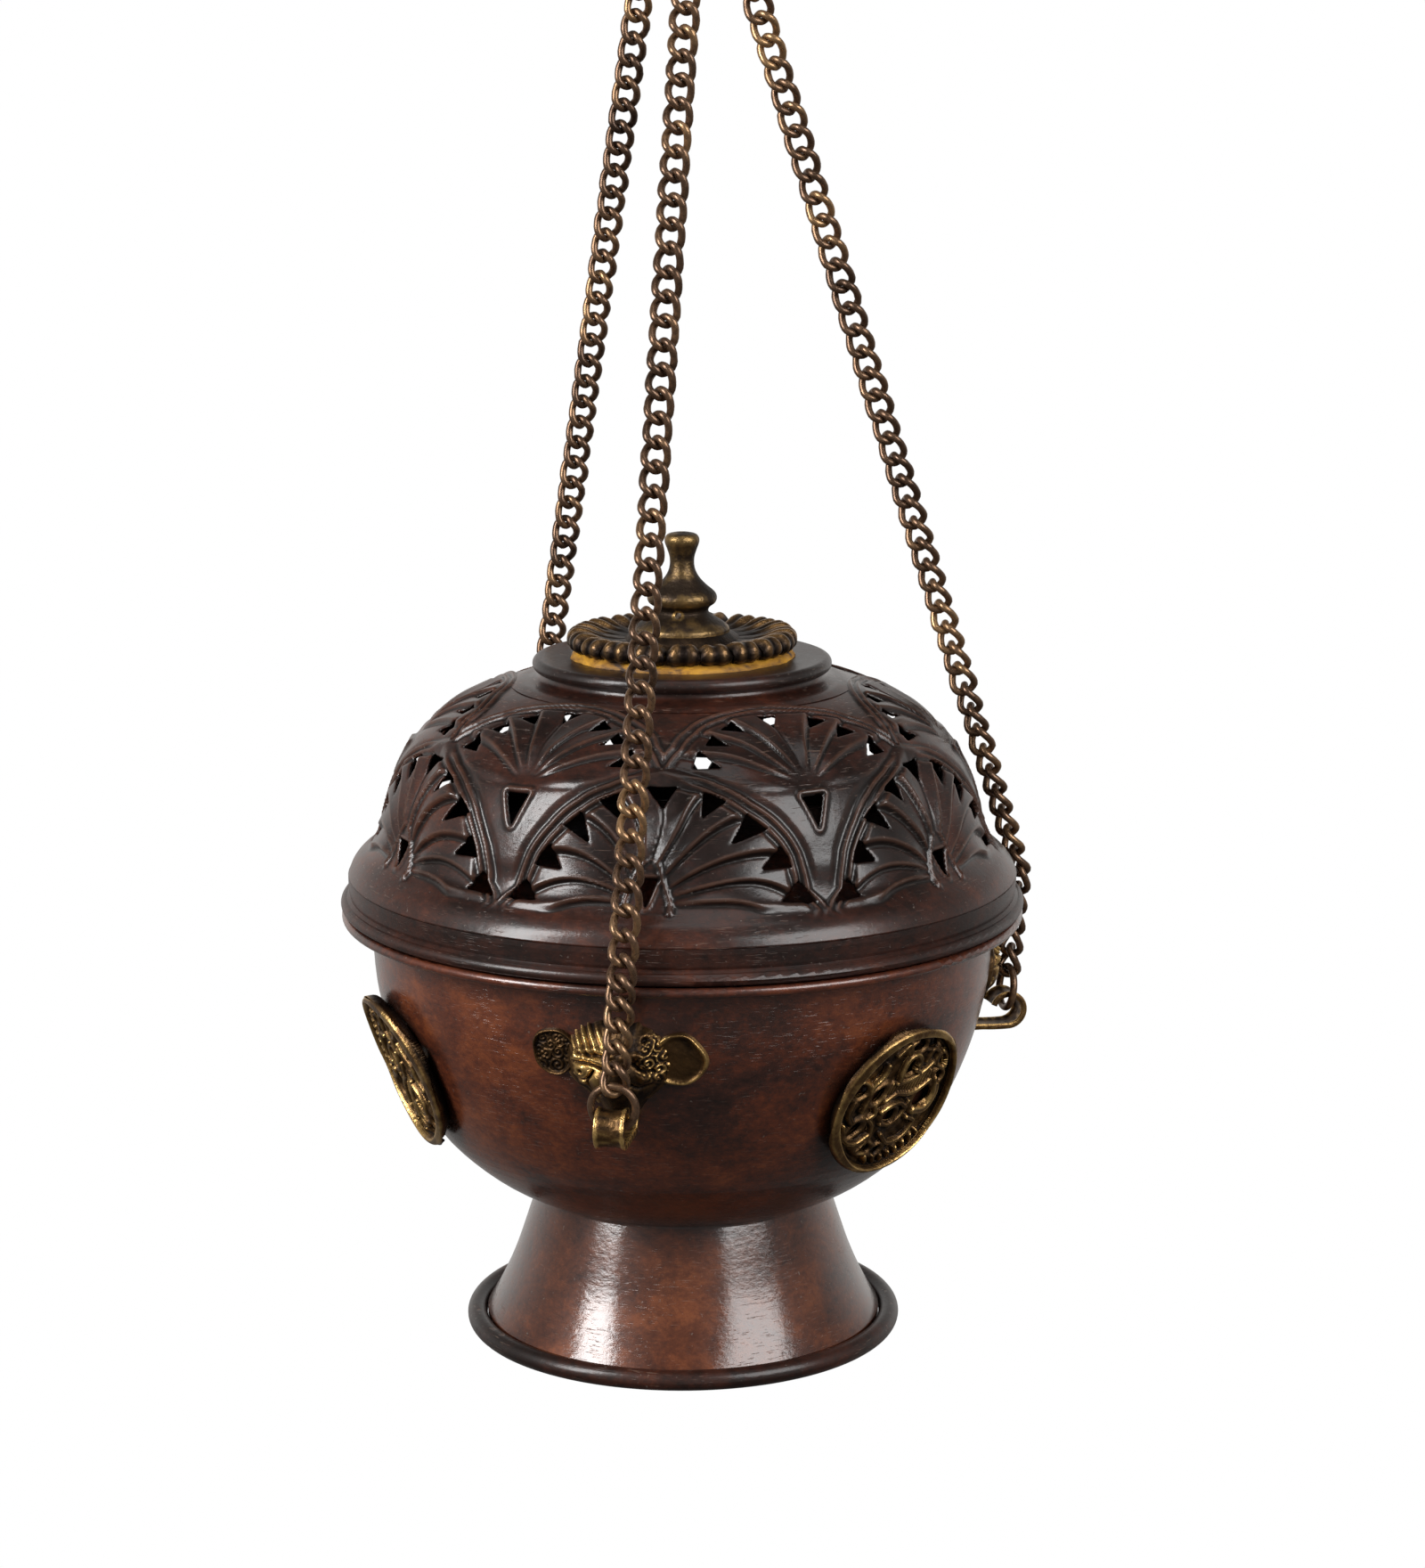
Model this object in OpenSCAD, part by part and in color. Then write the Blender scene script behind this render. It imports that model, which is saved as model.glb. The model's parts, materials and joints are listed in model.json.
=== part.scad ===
// Hanging thurible censer: a foot-ringed bowl under a pierced domed lid, hung on three
// chains from a ring, swivel and hook. +Z up, front towards -Y, millimetres.
// Origin: middle of the hook's throat. Azimuths turn from the front towards +X.

/* [Hanging] */
// height from the hook's throat down to the bowl's rim plane
rim_drop = 329; // [329:1:329]
// hook throat, middle of the wire
hook_bend = 11; // [10:0.5:13]
// hook wire radius
hook_wire = 2; // [1.8:0.1:2.3]
// mean radius of the gathering ring
gather_radius = 11; // [10.6:0.1:11]
// wire radius of the gathering ring
gather_wire = 1.3; // [1.1:0.1:1.3]

/* [Chains] */
// chain wire radius
chain_wire = 0.92; // [0.7:0.01:0.95]
// outside width of a chain link
link_width = 7.3; // [6.9:0.1:7.4]
// inside length of a chain link
link_inside = 5.62; // [5.55:0.01:5.7]
// links in each long run between the gathering ring and the rim
upper_links = 50; // [50:1:50]
// links in the short run between a lug ring and the rim
low_links = 5; // [5:1:5]
// mean radius of the wire ring in each strap eye
lug_ring_radius = 5.2; // [5.1:0.05:5.3]

/* [Bowl and foot] */
// sheet thickness of the bowl
bowl_wall = 1.5; // [1:0.1:2]
// sheet thickness of the foot
foot_wall = 1.4; // [1:0.1:1.8]
// radius of the foot's rolled edge
foot_roll = 2.5; // [2.3:0.1:2.5]

/* [Lid] */
// sheet thickness of the lid
lid_wall = 1.2; // [0.9:0.1:1.4]
// fans in each row of the lid
fan_count = 6; // [6:1:6]
// turn of the lid's pattern from the front
fan_turn = -3.5; // [-30:0.5:30]
// radius of the collar disc
collar_radius = 36.5; // [35:0.5:38]
// curled petals round the rosette
petal_count = 20; // [14:1:22]

/* [Brass fittings] */
// radius of a medallion
medal_radius = 20.4; // [18:0.2:21]
// thickness of a medallion's plate
medal_plate = 1.8; // [1.4:0.1:2.2]
// width of a strap eye
strap_width = 6.5; // [6:0.1:6.6]
// sheet thickness of a strap eye
strap_wall = 0.9; // [0.8:0.1:1]

/* [Fire pan] */
// outside radius of the fire pan's rim
pan_radius = 62; // [56:1:63]
// wall of the fire pan
pan_wall = 1.2; // [1:0.1:1.6]
// height of the pan's floor over the bowl's rim plane
pan_floor = -50; // [-52:0.5:-46]
// height of the pan's rim over the bowl's rim plane
pan_rim = -27; // [-27:0.5:-24]

/* [Hidden] */
$fn = 72;
wire_fn = 28;
copper = [0.36, 0.2, 0.14];
brass = [0.6, 0.46, 0.24];
dark = [0.25, 0.21, 0.17];
ochre = [0.78, 0.55, 0.16];

// azimuths of the three lugs and of the three medallions
lug_azimuth = [-10.5, 105, -150];
// azimuths where the chains pass the rim
knee_azimuth = [-8.4, 106.5, -151.5];
medal_azimuth = [44, 158, -67.5];

// rest places in the rim frame: [outwards, height]
eye_at = [84.6, -33.8];
knee_at = [89, 1.5];
medal_at = [71.15, -35.3];
medal_tilt = 21;
mask_at = [70.8, -20.5];

// turn of the gathering ring and stirrup about the shank
ring_turn = -50;
// places of the chain tops along the gathering ring, measured level from its middle
top_along = [7.55, 2.1, -3.6];
gather_top = -37.75;
gather_mid = gather_top - gather_radius;

// turned lower end of the hook: heights from the throat, radius of the swivel's neck
shank_flange = -22.2;
shank_button = -28.7;
shank_neck = 1.6;

// heights over the rim plane at the crown of the lid
bed_top = 63.35;
finial_base = 66.6;
crown_hole = 3.4;
stud_radius = 2.5;

low_fit = (chain_wire * 2 + link_inside) / 2;
hook_gap = 0.15;
// half the play left where the two runs of a chain meet
knee_slack = 1.4;

function polar_point(outwards, azimuth, height) =
    [outwards * sin(azimuth), -outwards * cos(azimuth), height];
function top_of(k) =
    [top_along[k] * cos(ring_turn), top_along[k] * sin(ring_turn),
        gather_mid - sqrt(pow(gather_radius, 2) - pow(top_along[k], 2))];
function knee_of(k) = polar_point(knee_at[0], knee_azimuth[k], knee_at[1] - rim_drop);
function lug_reach(k) =
    polar_point(knee_at[0], knee_azimuth[k] - lug_azimuth[k], knee_at[1])
    - [0, -eye_at[0], eye_at[1]];

// smooth curve through a few profile points
function spline(p0, p1, p2, p3, t) =
    0.5 * ((2 * p1) + (p2 - p0) * t + (2 * p0 - 5 * p1 + 4 * p2 - p3) * t * t
    + (3 * p1 - p0 - 3 * p2 + p3) * t * t * t);
function smooth(points, steps) = [
    for (i = [0:len(points) - 2], s = [0:steps - 1])
        spline(points[max(i - 1, 0)], points[i], points[i + 1],
            points[min(i + 2, len(points) - 1)], s / steps),
    points[len(points) - 1]
];
// the same curve moved sideways by a wall's thickness
function normal_at(path, i) =
    let (a = path[max(i - 1, 0)], b = path[min(i + 1, len(path) - 1)], d = b - a)
    [-d[1], d[0]] / norm(d);
function offset_path(path, by) = [for (i = [0:len(path) - 1]) path[i] + by * normal_at(path, i)];
function backwards(path) = [for (i = [len(path) - 1:-1:0]) path[i]];
function wall(path, thickness) = concat(path, backwards(offset_path(path, thickness)));

bowl_points = [[76.6, -2], [76.3, -9], [75.6, -18], [74, -26], [71.7, -34], [68.6, -42],
    [64.6, -50], [59.8, -57], [53, -63.5], [46, -68.5], [38, -72.5]];
foot_points = [[36.4, -73.6], [38.2, -79], [40, -84.5], [41.9, -90], [44.2, -95.5], [46.9, -100.8],
    [49.2, -104.6]];
dome_points = [[33.4, 55.6], [38, 55.2], [43, 54], [48, 52.3], [53, 50.1], [57, 47.8], [61, 44.6],
    [64.5, 41], [67.5, 36.6], [70, 31.2], [72, 24.8], [73.7, 18.4]];
skirt_points = [[73.7, 18.4], [74.9, 15.9], [76.9, 14], [79.3, 12.2], [81.1, 10], [82.1, 7.8]];

bowl_path = smooth(bowl_points, 3);
foot_path = smooth(foot_points, 3);
dome_path = smooth(dome_points, 3);
skirt_path = smooth(skirt_points, 3);
bowl_floor = -73.4;

module at_rim() {
    translate([0, 0, -rim_drop])
        children();
}

module ring(mean_radius, wire) {
    rotate_extrude($fn = 64)
        translate([mean_radius, 0])
            circle(r = wire, $fn = wire_fn);
}

module half_ring(mean_radius, wire, sweep = 180) {
    rotate_extrude(angle = sweep, $fn = 64)
        translate([mean_radius, 0])
            circle(r = wire, $fn = wire_fn);
}

// one oval link standing in the X-Z plane, its middle at the origin
module link() {
    bend = link_width / 2 - chain_wire;
    straight = link_inside - 2 * bend + 2 * chain_wire;
    for (end = [0, 180])
        rotate([0, end, 0])
            translate([0, 0, straight / 2])
                rotate([90, 0, 0])
                    half_ring(bend, chain_wire);
    for (side = [-1, 1])
        translate([side * bend, 0, 0])
            cylinder(r = chain_wire, h = straight, center = true, $fn = wire_fn);
}

// places the children at a point with their +Z along a direction
module along(from, direction) {
    translate(from)
        rotate([0, acos(direction[2] / norm(direction)), atan2(direction[1], direction[0])])
            children();
}

// places the children at an azimuth: the children's -Y looks outwards
module at_azimuth(azimuth) {
    rotate([0, 0, azimuth])
        children();
}

module hanging_hook() {
    half_bend = hook_bend / 2;
    back_end = -8;
    tip_end = -5;
    shank_top = back_end - hook_bend;
    rotate([90, 0, 0])
        half_ring(hook_bend, hook_wire);
    translate([hook_bend, 0, tip_end])
        cylinder(r = hook_wire, h = -tip_end, $fn = wire_fn);
    translate([hook_bend, 0, tip_end - 1])
        sphere(r = hook_wire + 0.8, $fn = 40);
    translate([-hook_bend, 0, back_end])
        cylinder(r = hook_wire, h = -back_end, $fn = wire_fn);
    translate([-half_bend, 0, back_end])
        rotate([90, 0, 0])
            rotate([0, 0, 180])
                half_ring(half_bend, hook_wire, 90);
    translate([-half_bend, 0, shank_top])
        rotate([90, 0, 0])
            half_ring(half_bend, hook_wire, 90);
    translate([0, 0, shank_flange])
        cylinder(r = hook_wire, h = shank_top - shank_flange, $fn = wire_fn);
    translate([0, 0, shank_flange - 1])
        cylinder(r = hook_wire + 1.4, h = 1);
    translate([0, 0, shank_button])
        cylinder(r = shank_neck, h = shank_flange - 1 - shank_button, $fn = 40);
    translate([0, 0, shank_button - 1.9])
        cylinder(r = shank_neck + 1.3, h = 1.9, $fn = 40);
}

// stirrup that turns on the hook's shank and holds the gathering ring
module swivel_stirrup() {
    reach = 6.5;
    leg = 1.2;
    leg_end = -34;
    boss_top = shank_flange - 1.3;
    boss_height = 4.9;
    bar_top = -24.4;
    bar_height = 3.2;
    rotate([0, 0, ring_turn])
        difference() {
            union() {
                translate([0, 0, boss_top - boss_height])
                    cylinder(r = 3 * leg, h = boss_height);
                translate([-2 * leg, -reach - leg, bar_top - bar_height])
                    cube([4 * leg, 2 * (reach + leg), bar_height]);
                for (side = [-1, 1])
                    translate([0, side * reach, leg_end])
                        cylinder(r = leg, h = bar_top - 3.1 - leg_end, $fn = wire_fn);
                translate([0, 0, leg_end])
                    rotate([0, 90, 0])
                        rotate([0, 0, -90])
                            half_ring(reach, leg);
            }
            translate([0, 0, -30])
                cylinder(r = shank_neck + 0.15, h = 8, $fn = 40);
        }
}

module gather_ring() {
    translate([0, 0, gather_mid])
        rotate([90, 0, ring_turn])
            ring(gather_radius, gather_wire);
}

// long run from the gathering ring down to the rim, with a jump ring at the top
module chain_upper(k) {
    from = top_of(k);
    reach = knee_of(k) - from;
    polar = acos(reach[2] / norm(reach));
    turn = atan2(reach[1], reach[0]);
    jump_radius = 3.6;
    jump_drop = 0.85;
    first = 6.4;
    last = norm(reach) + knee_slack - low_fit;
    rise = asin(top_along[k] / gather_radius);
    line = [cos(rise) * cos(ring_turn), cos(rise) * sin(ring_turn), sin(rise)];
    across = [cos(polar) * cos(turn), cos(polar) * sin(turn), -sin(polar)] * line;
    level = [-sin(turn), cos(turn), 0] * line;
    along(from, reach) {
        rotate([0, 0, atan2(-across, level)])
            translate([0, 0, jump_drop])
                rotate([90, 0, 0])
                    ring(jump_radius, chain_wire);
        for (i = [0:upper_links - 1])
            translate([0, 0, first + i * (last - first) / (upper_links - 1)])
                rotate([0, 0, (upper_links - i) % 2 * 90])
                    link();
    }
}

// places the children in a lug's eye: their +Z looks up the short run, their -X inwards
module up_from_lug(k) {
    reach = lug_reach(k);
    at_rim()
        at_azimuth(lug_azimuth[k])
            along([0, -eye_at[0], eye_at[1]], reach)
                rotate([0, 0, -90 - atan2(reach[1], reach[0])])
                    children();
}

// short run from the lug ring up to the knee at the rim
module chain_lower(k) {
    first = 2 * lug_ring_radius - 2 * chain_wire - hook_gap + low_fit;
    last = norm(lug_reach(k)) + knee_slack - low_fit;
    up_from_lug(k)
        for (i = [0:low_links - 1])
            translate([0, 0, first + i * (last - first) / (low_links - 1)])
                rotate([0, 0, i % 2 * 90])
                    link();
}

module lug_ring(k) {
    up_from_lug(k)
        translate([0, 0, lug_ring_radius])
            rotate([0, 0, 90])
                rotate([90, 0, 0])
                    ring(lug_ring_radius, chain_wire);
}

// the bowl's outside shape, filled in
module bowl_envelope() {
    rotate_extrude()
        polygon(concat([[0, -1]], [[76.6, -1]], bowl_path,
            [[20, bowl_floor - 3], [0, bowl_floor - 4]]));
}

// a layer of even thickness lying on the bowl's wall
module bowl_skin(thickness) {
    rotate_extrude()
        polygon(concat(bowl_path, backwards(offset_path(bowl_path, thickness))));
}

module bowl() {
    inner = offset_path(bowl_path, -bowl_wall);
    at_rim()
        rotate_extrude()
            polygon(concat([[76.6 - bowl_wall, -1], [76.6, -1]], bowl_path,
                [[20, bowl_floor - 3], [0, bowl_floor - 4]],
                [[0, bowl_floor - 4 + bowl_wall], [20, bowl_floor - 3 + bowl_wall]], backwards(inner)));
}

module bowl_lip() {
    at_rim() {
        rotate_extrude()
            polygon([[76.62, -2.9], [81.8, -2.9], [81.8, -1.5], [76.62, -1.5]]);
        translate([0, 0, -2.25])
            ring(82.6, 1.2);
    }
}

module foot() {
    at_rim()
        difference() {
            rotate_extrude()
                polygon(wall(concat([[36, -71]], foot_path, [[49.24, -107.6]]), -foot_wall));
            bowl_envelope();
        }
}

module foot_edge() {
    at_rim()
        translate([0, 0, -106.3])
            difference() {
                ring(51.8, foot_roll);
                translate([0, 0, -foot_roll - 4.6])
                    cylinder(r = 60, h = 5);
            }
}

// lid: height and radius of the sheet at a distance measured down its slope
function path_length(path, i) =
    i == 0 ? 0 : path_length(path, i - 1) + norm(path[i] - path[i - 1]);
slope_points = concat(dome_points, [for (i = [1:len(skirt_points) - 1]) skirt_points[i]]);
slope_radius = [for (i = [0:len(slope_points) - 1]) [path_length(slope_points, i), slope_points[i][0]]];
slope_height = [for (i = [0:len(slope_points) - 1]) [path_length(slope_points, i), slope_points[i][1]]];
function sheet_at(s) = [lookup(s, slope_radius), lookup(s, slope_height)];
function sheet_tilt(s) =
    let (d = sheet_at(s + 1) - sheet_at(s - 1))
    atan2(d[0], -d[1]);

// corners of the piercings, each as [degrees from the fan's middle, distance down the slope]
lower_side = [
    [[22.2, 62.8], [28.4, 63.2], [25.2, 57.6]],
    [[18, 54.8], [24.2, 54.6], [21.4, 49.6]],
    [[12.8, 48.8], [19.6, 45], [15.6, 41.6]],
    [[7.2, 43.2], [12.2, 38.6], [7.4, 37]]
];
lower_middle = [
    [[-3, 34.6], [3, 34.6], [0, 40.6]],
    [[-2.2, 57], [2.2, 57], [0, 63.6]]
];
upper_side = [
    [[18, 30.2], [24.2, 30.2], [22.6, 25]],
    [[14, 23.4], [20.4, 23.2], [18, 19.2]],
    [[8.6, 18.2], [15.4, 17.4], [11.4, 13.4]]
];
upper_middle = [
    [[-3.2, 11.4], [3.2, 11.4], [0, 16.4]],
    [[-2.6, 38.4], [2.6, 38.4], [0, 46]]
];
function mirrored(holes) = [for (hole = holes) [for (corner = hole) [-corner[0], corner[1]]]];
function middle(hole) = (hole[0] + hole[1] + hole[2]) / 3;

module piercing(hole) {
    mid = middle(hole);
    place = sheet_at(mid[1]);
    flat = [for (corner = hole)
        [(corner[0] - mid[0]) * place[0] * PI / 180, mid[1] - corner[1]]];
    rotate([0, 0, mid[0]])
        translate([0, -place[0], place[1]])
            rotate([90 - sheet_tilt(mid[1]), 0, 0])
                translate([0, 0, -4])
                    linear_extrude(height = 7)
                        polygon(flat);
}

module lid_dome() {
    sheet = concat(dome_path, [for (i = [1:len(skirt_path) - 1]) skirt_path[i]]);
    at_rim()
        difference() {
            rotate_extrude()
                polygon(wall(sheet, -lid_wall));
            for (i = [0:fan_count - 1]) {
                at_azimuth(fan_turn + i * 360 / fan_count)
                    for (hole = concat(lower_side, mirrored(lower_side), lower_middle))
                        piercing(hole);
                at_azimuth(fan_turn + (i + 0.5) * 360 / fan_count)
                    for (hole = concat(upper_side, mirrored(upper_side), upper_middle))
                        piercing(hole);
            }
        }
}

// polished band, seat and spigot that centres the lid in the bowl
module lid_rim() {
    at_rim() {
        rotate_extrude()
            polygon([[73.4, -5], [74.4, -5], [74.4, -0.7], [82.4, -0.7], [83, 2], [81.7, 2.9],
                [81.9, 3.6], [82.1, 6.4], [82.1, 7.7], [80.6, 7.1], [80.4, 0.5], [73.4, 0.5]]);
        translate([0, 0, 0.8])
            ring(82.5, 1.5);
    }
}

module lid_collar() {
    border = 1.7;
    disc_bottom = 57.5;
    spigot = collar_radius - 4.4;
    spigot_bottom = 53.8;
    at_rim()
        difference() {
            union() {
                translate([0, 0, disc_bottom])
                    cylinder(r = collar_radius - border, h = 2 * border);
                translate([0, 0, disc_bottom + border])
                    ring(collar_radius - border, border);
                translate([0, 0, spigot_bottom])
                    cylinder(r = spigot, h = disc_bottom + 0.5 - spigot_bottom);
            }
            translate([0, 0, spigot_bottom - 1])
                cylinder(r = spigot - lid_wall, h = 6.7);
            translate([0, 0, spigot_bottom - 1])
                cylinder(r = crown_hole, h = 10, $fn = 40);
        }
}

module rosette_bed() {
    at_rim()
        translate([0, 0, bed_top - 2.43])
            difference() {
                cylinder(r1 = 28.3, r2 = 26.5, h = 2.4);
                translate([0, 0, -1])
                    cylinder(r = crown_hole, h = 5, $fn = 40);
            }
}

module rosette() {
    plate = 26.6;
    knuckle = 2;
    knuckle_at = 25.6;
    rib = 1.1;
    at_rim()
        difference() {
            union() {
                translate([0, 0, bed_top])
                    cylinder(r1 = plate, r2 = plate - 1.6, h = 1.6);
                translate([0, 0, bed_top])
                    cylinder(r1 = 15, r2 = 11, h = 3.2);
                for (i = [0:petal_count - 1])
                    rotate([0, 0, i * 360 / petal_count])
                        translate([0, -knuckle_at, bed_top + 1])
                            rotate([0, 90, 0])
                                cylinder(r = knuckle, h = 5.4, center = true, $fn = 24);
                for (i = [0:petal_count - 1])
                    rotate([0, 0, (i + 0.5) * 360 / petal_count])
                        translate([0, -17.5, bed_top + 1.5])
                            rotate([76, 0, 0])
                                cylinder(r = rib, h = 13, center = true, $fn = 24);
            }
            translate([0, 0, bed_top - knuckle])
                cylinder(r = plate + knuckle, h = knuckle);
            translate([0, 0, bed_top - 1])
                cylinder(r = crown_hole, h = 8, $fn = 40);
        }
}

module finial() {
    finial_points = [[11.6, 0], [11.3, 1.4], [9.4, 2.9], [7.4, 4.1], [6.4, 5.2], [6.8, 6.3], [8.1, 7.3],
        [8.5, 8.6], [7.9, 9.9], [5.9, 11.6], [4.1, 13.6], [3.1, 15.8], [3, 18.2], [3.6, 20.3],
        [4.2, 22], [4.1, 23.2], [3.1, 24.1], [0, 24.6]];
    pin_height = 4.9;
    pin_turn = -8;
    at_rim()
        translate([0, 0, finial_base])
            difference() {
                rotate_extrude($fn = 64)
                    polygon(concat([[0, 0]], smooth(finial_points, 3)));
                translate([0, 0, pin_height])
                    rotate([90, 0, pin_turn])
                        cylinder(r = 0.8, h = 30, center = true, $fn = 20);
                translate([0, 0, -1])
                    cylinder(r = stud_radius + 0.02, h = 4.8, $fn = 40);
            }
}

// stud up through the collar into the finial
module finial_stud() {
    stud_bottom = 54.4;
    at_rim()
        translate([0, 0, stud_bottom])
            cylinder(r = stud_radius, h = finial_base + 3.6 - stud_bottom, $fn = 40);
}

module finial_nut() {
    nut_bottom = 56.4;
    at_rim()
        translate([0, 0, nut_bottom])
            difference() {
                cylinder(r = 7, h = 3);
                translate([0, 0, -1])
                    cylinder(r = stud_radius + 0.02, h = 5, $fn = 40);
            }
}

// beast head with side ears, its back shaped to the bowl
module mask(k) {
    head = 12;
    ear = 5.6;
    ear_at = 15;
    wing = 2.2;
    at_rim()
        at_azimuth(lug_azimuth[k])
            difference() {
                union() {
                    translate([0, -mask_at[0], mask_at[1]]) {
                        scale([1, 0.9, 1])
                            sphere(r = head);
                        translate([0, -8.1, -0.8])
                            sphere(r = 2.7, $fn = 40);
                        for (side = [-1, 1]) {
                            translate([side * 3.4, -8.2, -5.6])
                                sphere(r = 3.4, $fn = 40);
                            translate([side * 4.6, -8.3, 4.9])
                                sphere(r = 2.9, $fn = 40);
                            translate([side * 9.2, -5.4, 7.6])
                                sphere(r = 2.6, $fn = 40);
                        }
                    }
                    intersection() {
                        bowl_skin(wing);
                        union() {
                            for (side = [-1, 1])
                                translate([side * ear_at, -60, mask_at[1]])
                                    rotate([90, 0, 0])
                                        cylinder(r = ear, h = 40);
                            translate([-ear_at, -100, mask_at[1] - ear])
                                cube([2 * ear_at, 40, 2 * ear]);
                        }
                    }
                }
                bowl_envelope();
                translate([-strap_width / 2 - 0.2, -mask_at[0] - 7.4, mask_at[1] - 14])
                    cube([strap_width + 0.4, 12, 19]);
            }
}

module mask_rivets() {
    shank = 1;
    inside_head = 1.9;
    spread = 12.4;
    at_rim()
        for (k = [0:2])
            at_azimuth(lug_azimuth[k])
                for (side = [-1, 1])
                    rotate([0, 0, side * spread])
                        translate([0, -72.3, mask_at[1]])
                            rotate([90, 0, 0]) {
                                cylinder(r = inside_head, h = 1.2, $fn = 24);
                                cylinder(r = shank, h = 5.5, $fn = 24);
                                translate([0, 0, 5.1])
                                    cylinder(r = 1.6 * shank, h = 0.8, $fn = 24);
                            }
}

// strap lying on the wall behind the mask, bent out and curled into an eye
module strap_eye(k) {
    inside = 3.5;
    outside = inside + strap_wall;
    at_rim()
        at_azimuth(lug_azimuth[k]) {
            intersection() {
                bowl_skin(strap_wall);
                translate([-strap_width / 2, -100, eye_at[1] - outside])
                    cube([strap_width, 40, 17]);
            }
            difference() {
                union() {
                    translate([0, -eye_at[0], eye_at[1]])
                        rotate([0, 90, 0])
                            cylinder(r = outside, h = strap_width, center = true);
                    translate([-strap_width / 2, -eye_at[0], eye_at[1] - outside])
                        cube([strap_width, eye_at[0] - 66, strap_wall]);
                }
                translate([0, -eye_at[0], eye_at[1]])
                    rotate([0, 90, 0])
                        cylinder(r = inside, h = strap_width + 2, center = true);
                translate([-strap_width / 2 - 1, -eye_at[0], eye_at[1] - inside])
                    cube([strap_width + 2, 8, inside - 0.4]);
                bowl_envelope();
            }
        }
}

// pierced round of scrollwork inside a plain raised border
module medallion(k) {
    border = 1.4;
    face = medal_plate - 0.2;
    big_hole = 3;
    big_at = 12.8;
    small_hole = 2;
    small_at = 5.9;
    at_rim()
        difference() {
            at_azimuth(medal_azimuth[k])
                translate([0, -medal_at[0], medal_at[1]])
                    rotate([90 + medal_tilt, 0, 0]) {
                        difference() {
                            cylinder(r = medal_radius, h = medal_plate);
                            for (i = [0:7])
                                rotate([0, 0, i * 45])
                                    translate([big_at, 0, -1])
                                        cylinder(r = big_hole, h = 5, $fn = 24);
                            for (i = [0:3])
                                rotate([0, 0, i * 90 + 22.5])
                                    translate([small_at, 0, -1])
                                        cylinder(r = small_hole, h = 5, $fn = 24);
                        }
                        translate([0, 0, face])
                            ring(medal_radius - border - 0.2, border);
                        for (i = [0:7])
                            rotate([0, 0, i * 45])
                                translate([big_at, 0, face])
                                    ring(big_hole + 0.7, 0.75);
                        translate([0, 0, face - 0.8])
                            sphere(r = 3, $fn = 40);
                    }
            bowl_envelope();
        }
}

module medallion_rivets() {
    shank = 1.1;
    length = 2.9;
    at_rim()
        for (k = [0:2])
            at_azimuth(medal_azimuth[k])
                translate([0, -medal_at[0], medal_at[1]])
                    rotate([90 + medal_tilt, 0, 0])
                        translate([0, 0, -length]) {
                            cylinder(r = shank + 0.9, h = 1.2, $fn = 24);
                            cylinder(r = shank, h = length, $fn = 24);
                        }
}

// shallow pan for the charcoal, standing on three ledges
module fire_pan() {
    flat = 40;
    bend = [54, pan_floor + 8];
    at_rim()
        rotate_extrude()
            polygon([[0, pan_floor], [flat, pan_floor], bend, [pan_radius - 2, pan_rim],
                [pan_radius, pan_rim], [pan_radius, pan_rim + pan_wall],
                [pan_radius - 2.8, pan_rim + pan_wall], bend + [-1, pan_wall],
                [flat - 0.4, pan_floor + pan_wall], [0, pan_floor + pan_wall]]);
}

module pan_bail() {
    bail = 14;
    leg = 12;
    wire = 1.5;
    at_rim()
        translate([0, 0, pan_floor + pan_wall]) {
            for (side = [-1, 1])
                translate([side * bail, 0, 0])
                    cylinder(r = wire, h = leg, $fn = wire_fn);
            translate([0, 0, leg])
                rotate([90, 0, 0])
                    half_ring(bail, wire);
        }
}

module pan_ledges() {
    width = 12;
    thickness = 1.4;
    inner_end = 60.6;
    at_rim()
        for (i = [0:2])
            rotate([0, 0, i * 120 + 60])
                difference() {
                    translate([-width / 2, -74.4, pan_rim - thickness - 0.3])
                        cube([width, 74.4 - inner_end, thickness]);
                    difference() {
                        translate([0, 0, -60])
                            cylinder(r = 90, h = 60);
                        rotate_extrude()
                            polygon(concat([[0, -1]], offset_path(bowl_path, -bowl_wall - 0.03),
                                [[0, bowl_floor - 2]]));
                    }
                }
}

color(dark)
        hanging_hook();
color(dark)
        swivel_stirrup();
color(dark)
        gather_ring();
color(dark)  // chain_upper_front
        chain_upper(0);
color(dark)  // chain_upper_right
        chain_upper(1);
color(dark)  // chain_upper_rear
        chain_upper(2);
color(dark)  // chain_lower_front
        chain_lower(0);
color(dark)  // chain_lower_right
        chain_lower(1);
color(dark)  // chain_lower_rear
        chain_lower(2);
color(dark)  // lug_ring_front
        lug_ring(0);
color(dark)  // lug_ring_right
        lug_ring(1);
color(dark)  // lug_ring_rear
        lug_ring(2);
color(brass)  // strap_eye_front
        strap_eye(0);
color(brass)  // strap_eye_right
        strap_eye(1);
color(brass)  // strap_eye_rear
        strap_eye(2);
color(brass)  // mask_front
        mask(0);
color(brass)  // mask_right
        mask(1);
color(brass)  // mask_rear
        mask(2);
color(brass)
        mask_rivets();
color(brass)  // medallion_right
        medallion(0);
color(brass)  // medallion_rear
        medallion(1);
color(brass)  // medallion_left
        medallion(2);
color(brass)
        medallion_rivets();
color(copper)
        bowl();
color(copper)
        bowl_lip();
color(copper)
        foot();
color(copper)
        foot_edge();
color(copper)
        lid_dome();
color(copper)
        lid_rim();
color(copper)
        lid_collar();
color(ochre)
        rosette_bed();
color(brass)
        rosette();
color(brass)
        finial();
color(brass)
        finial_stud();
color(brass)
        finial_nut();
color(dark)
        fire_pan();
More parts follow.
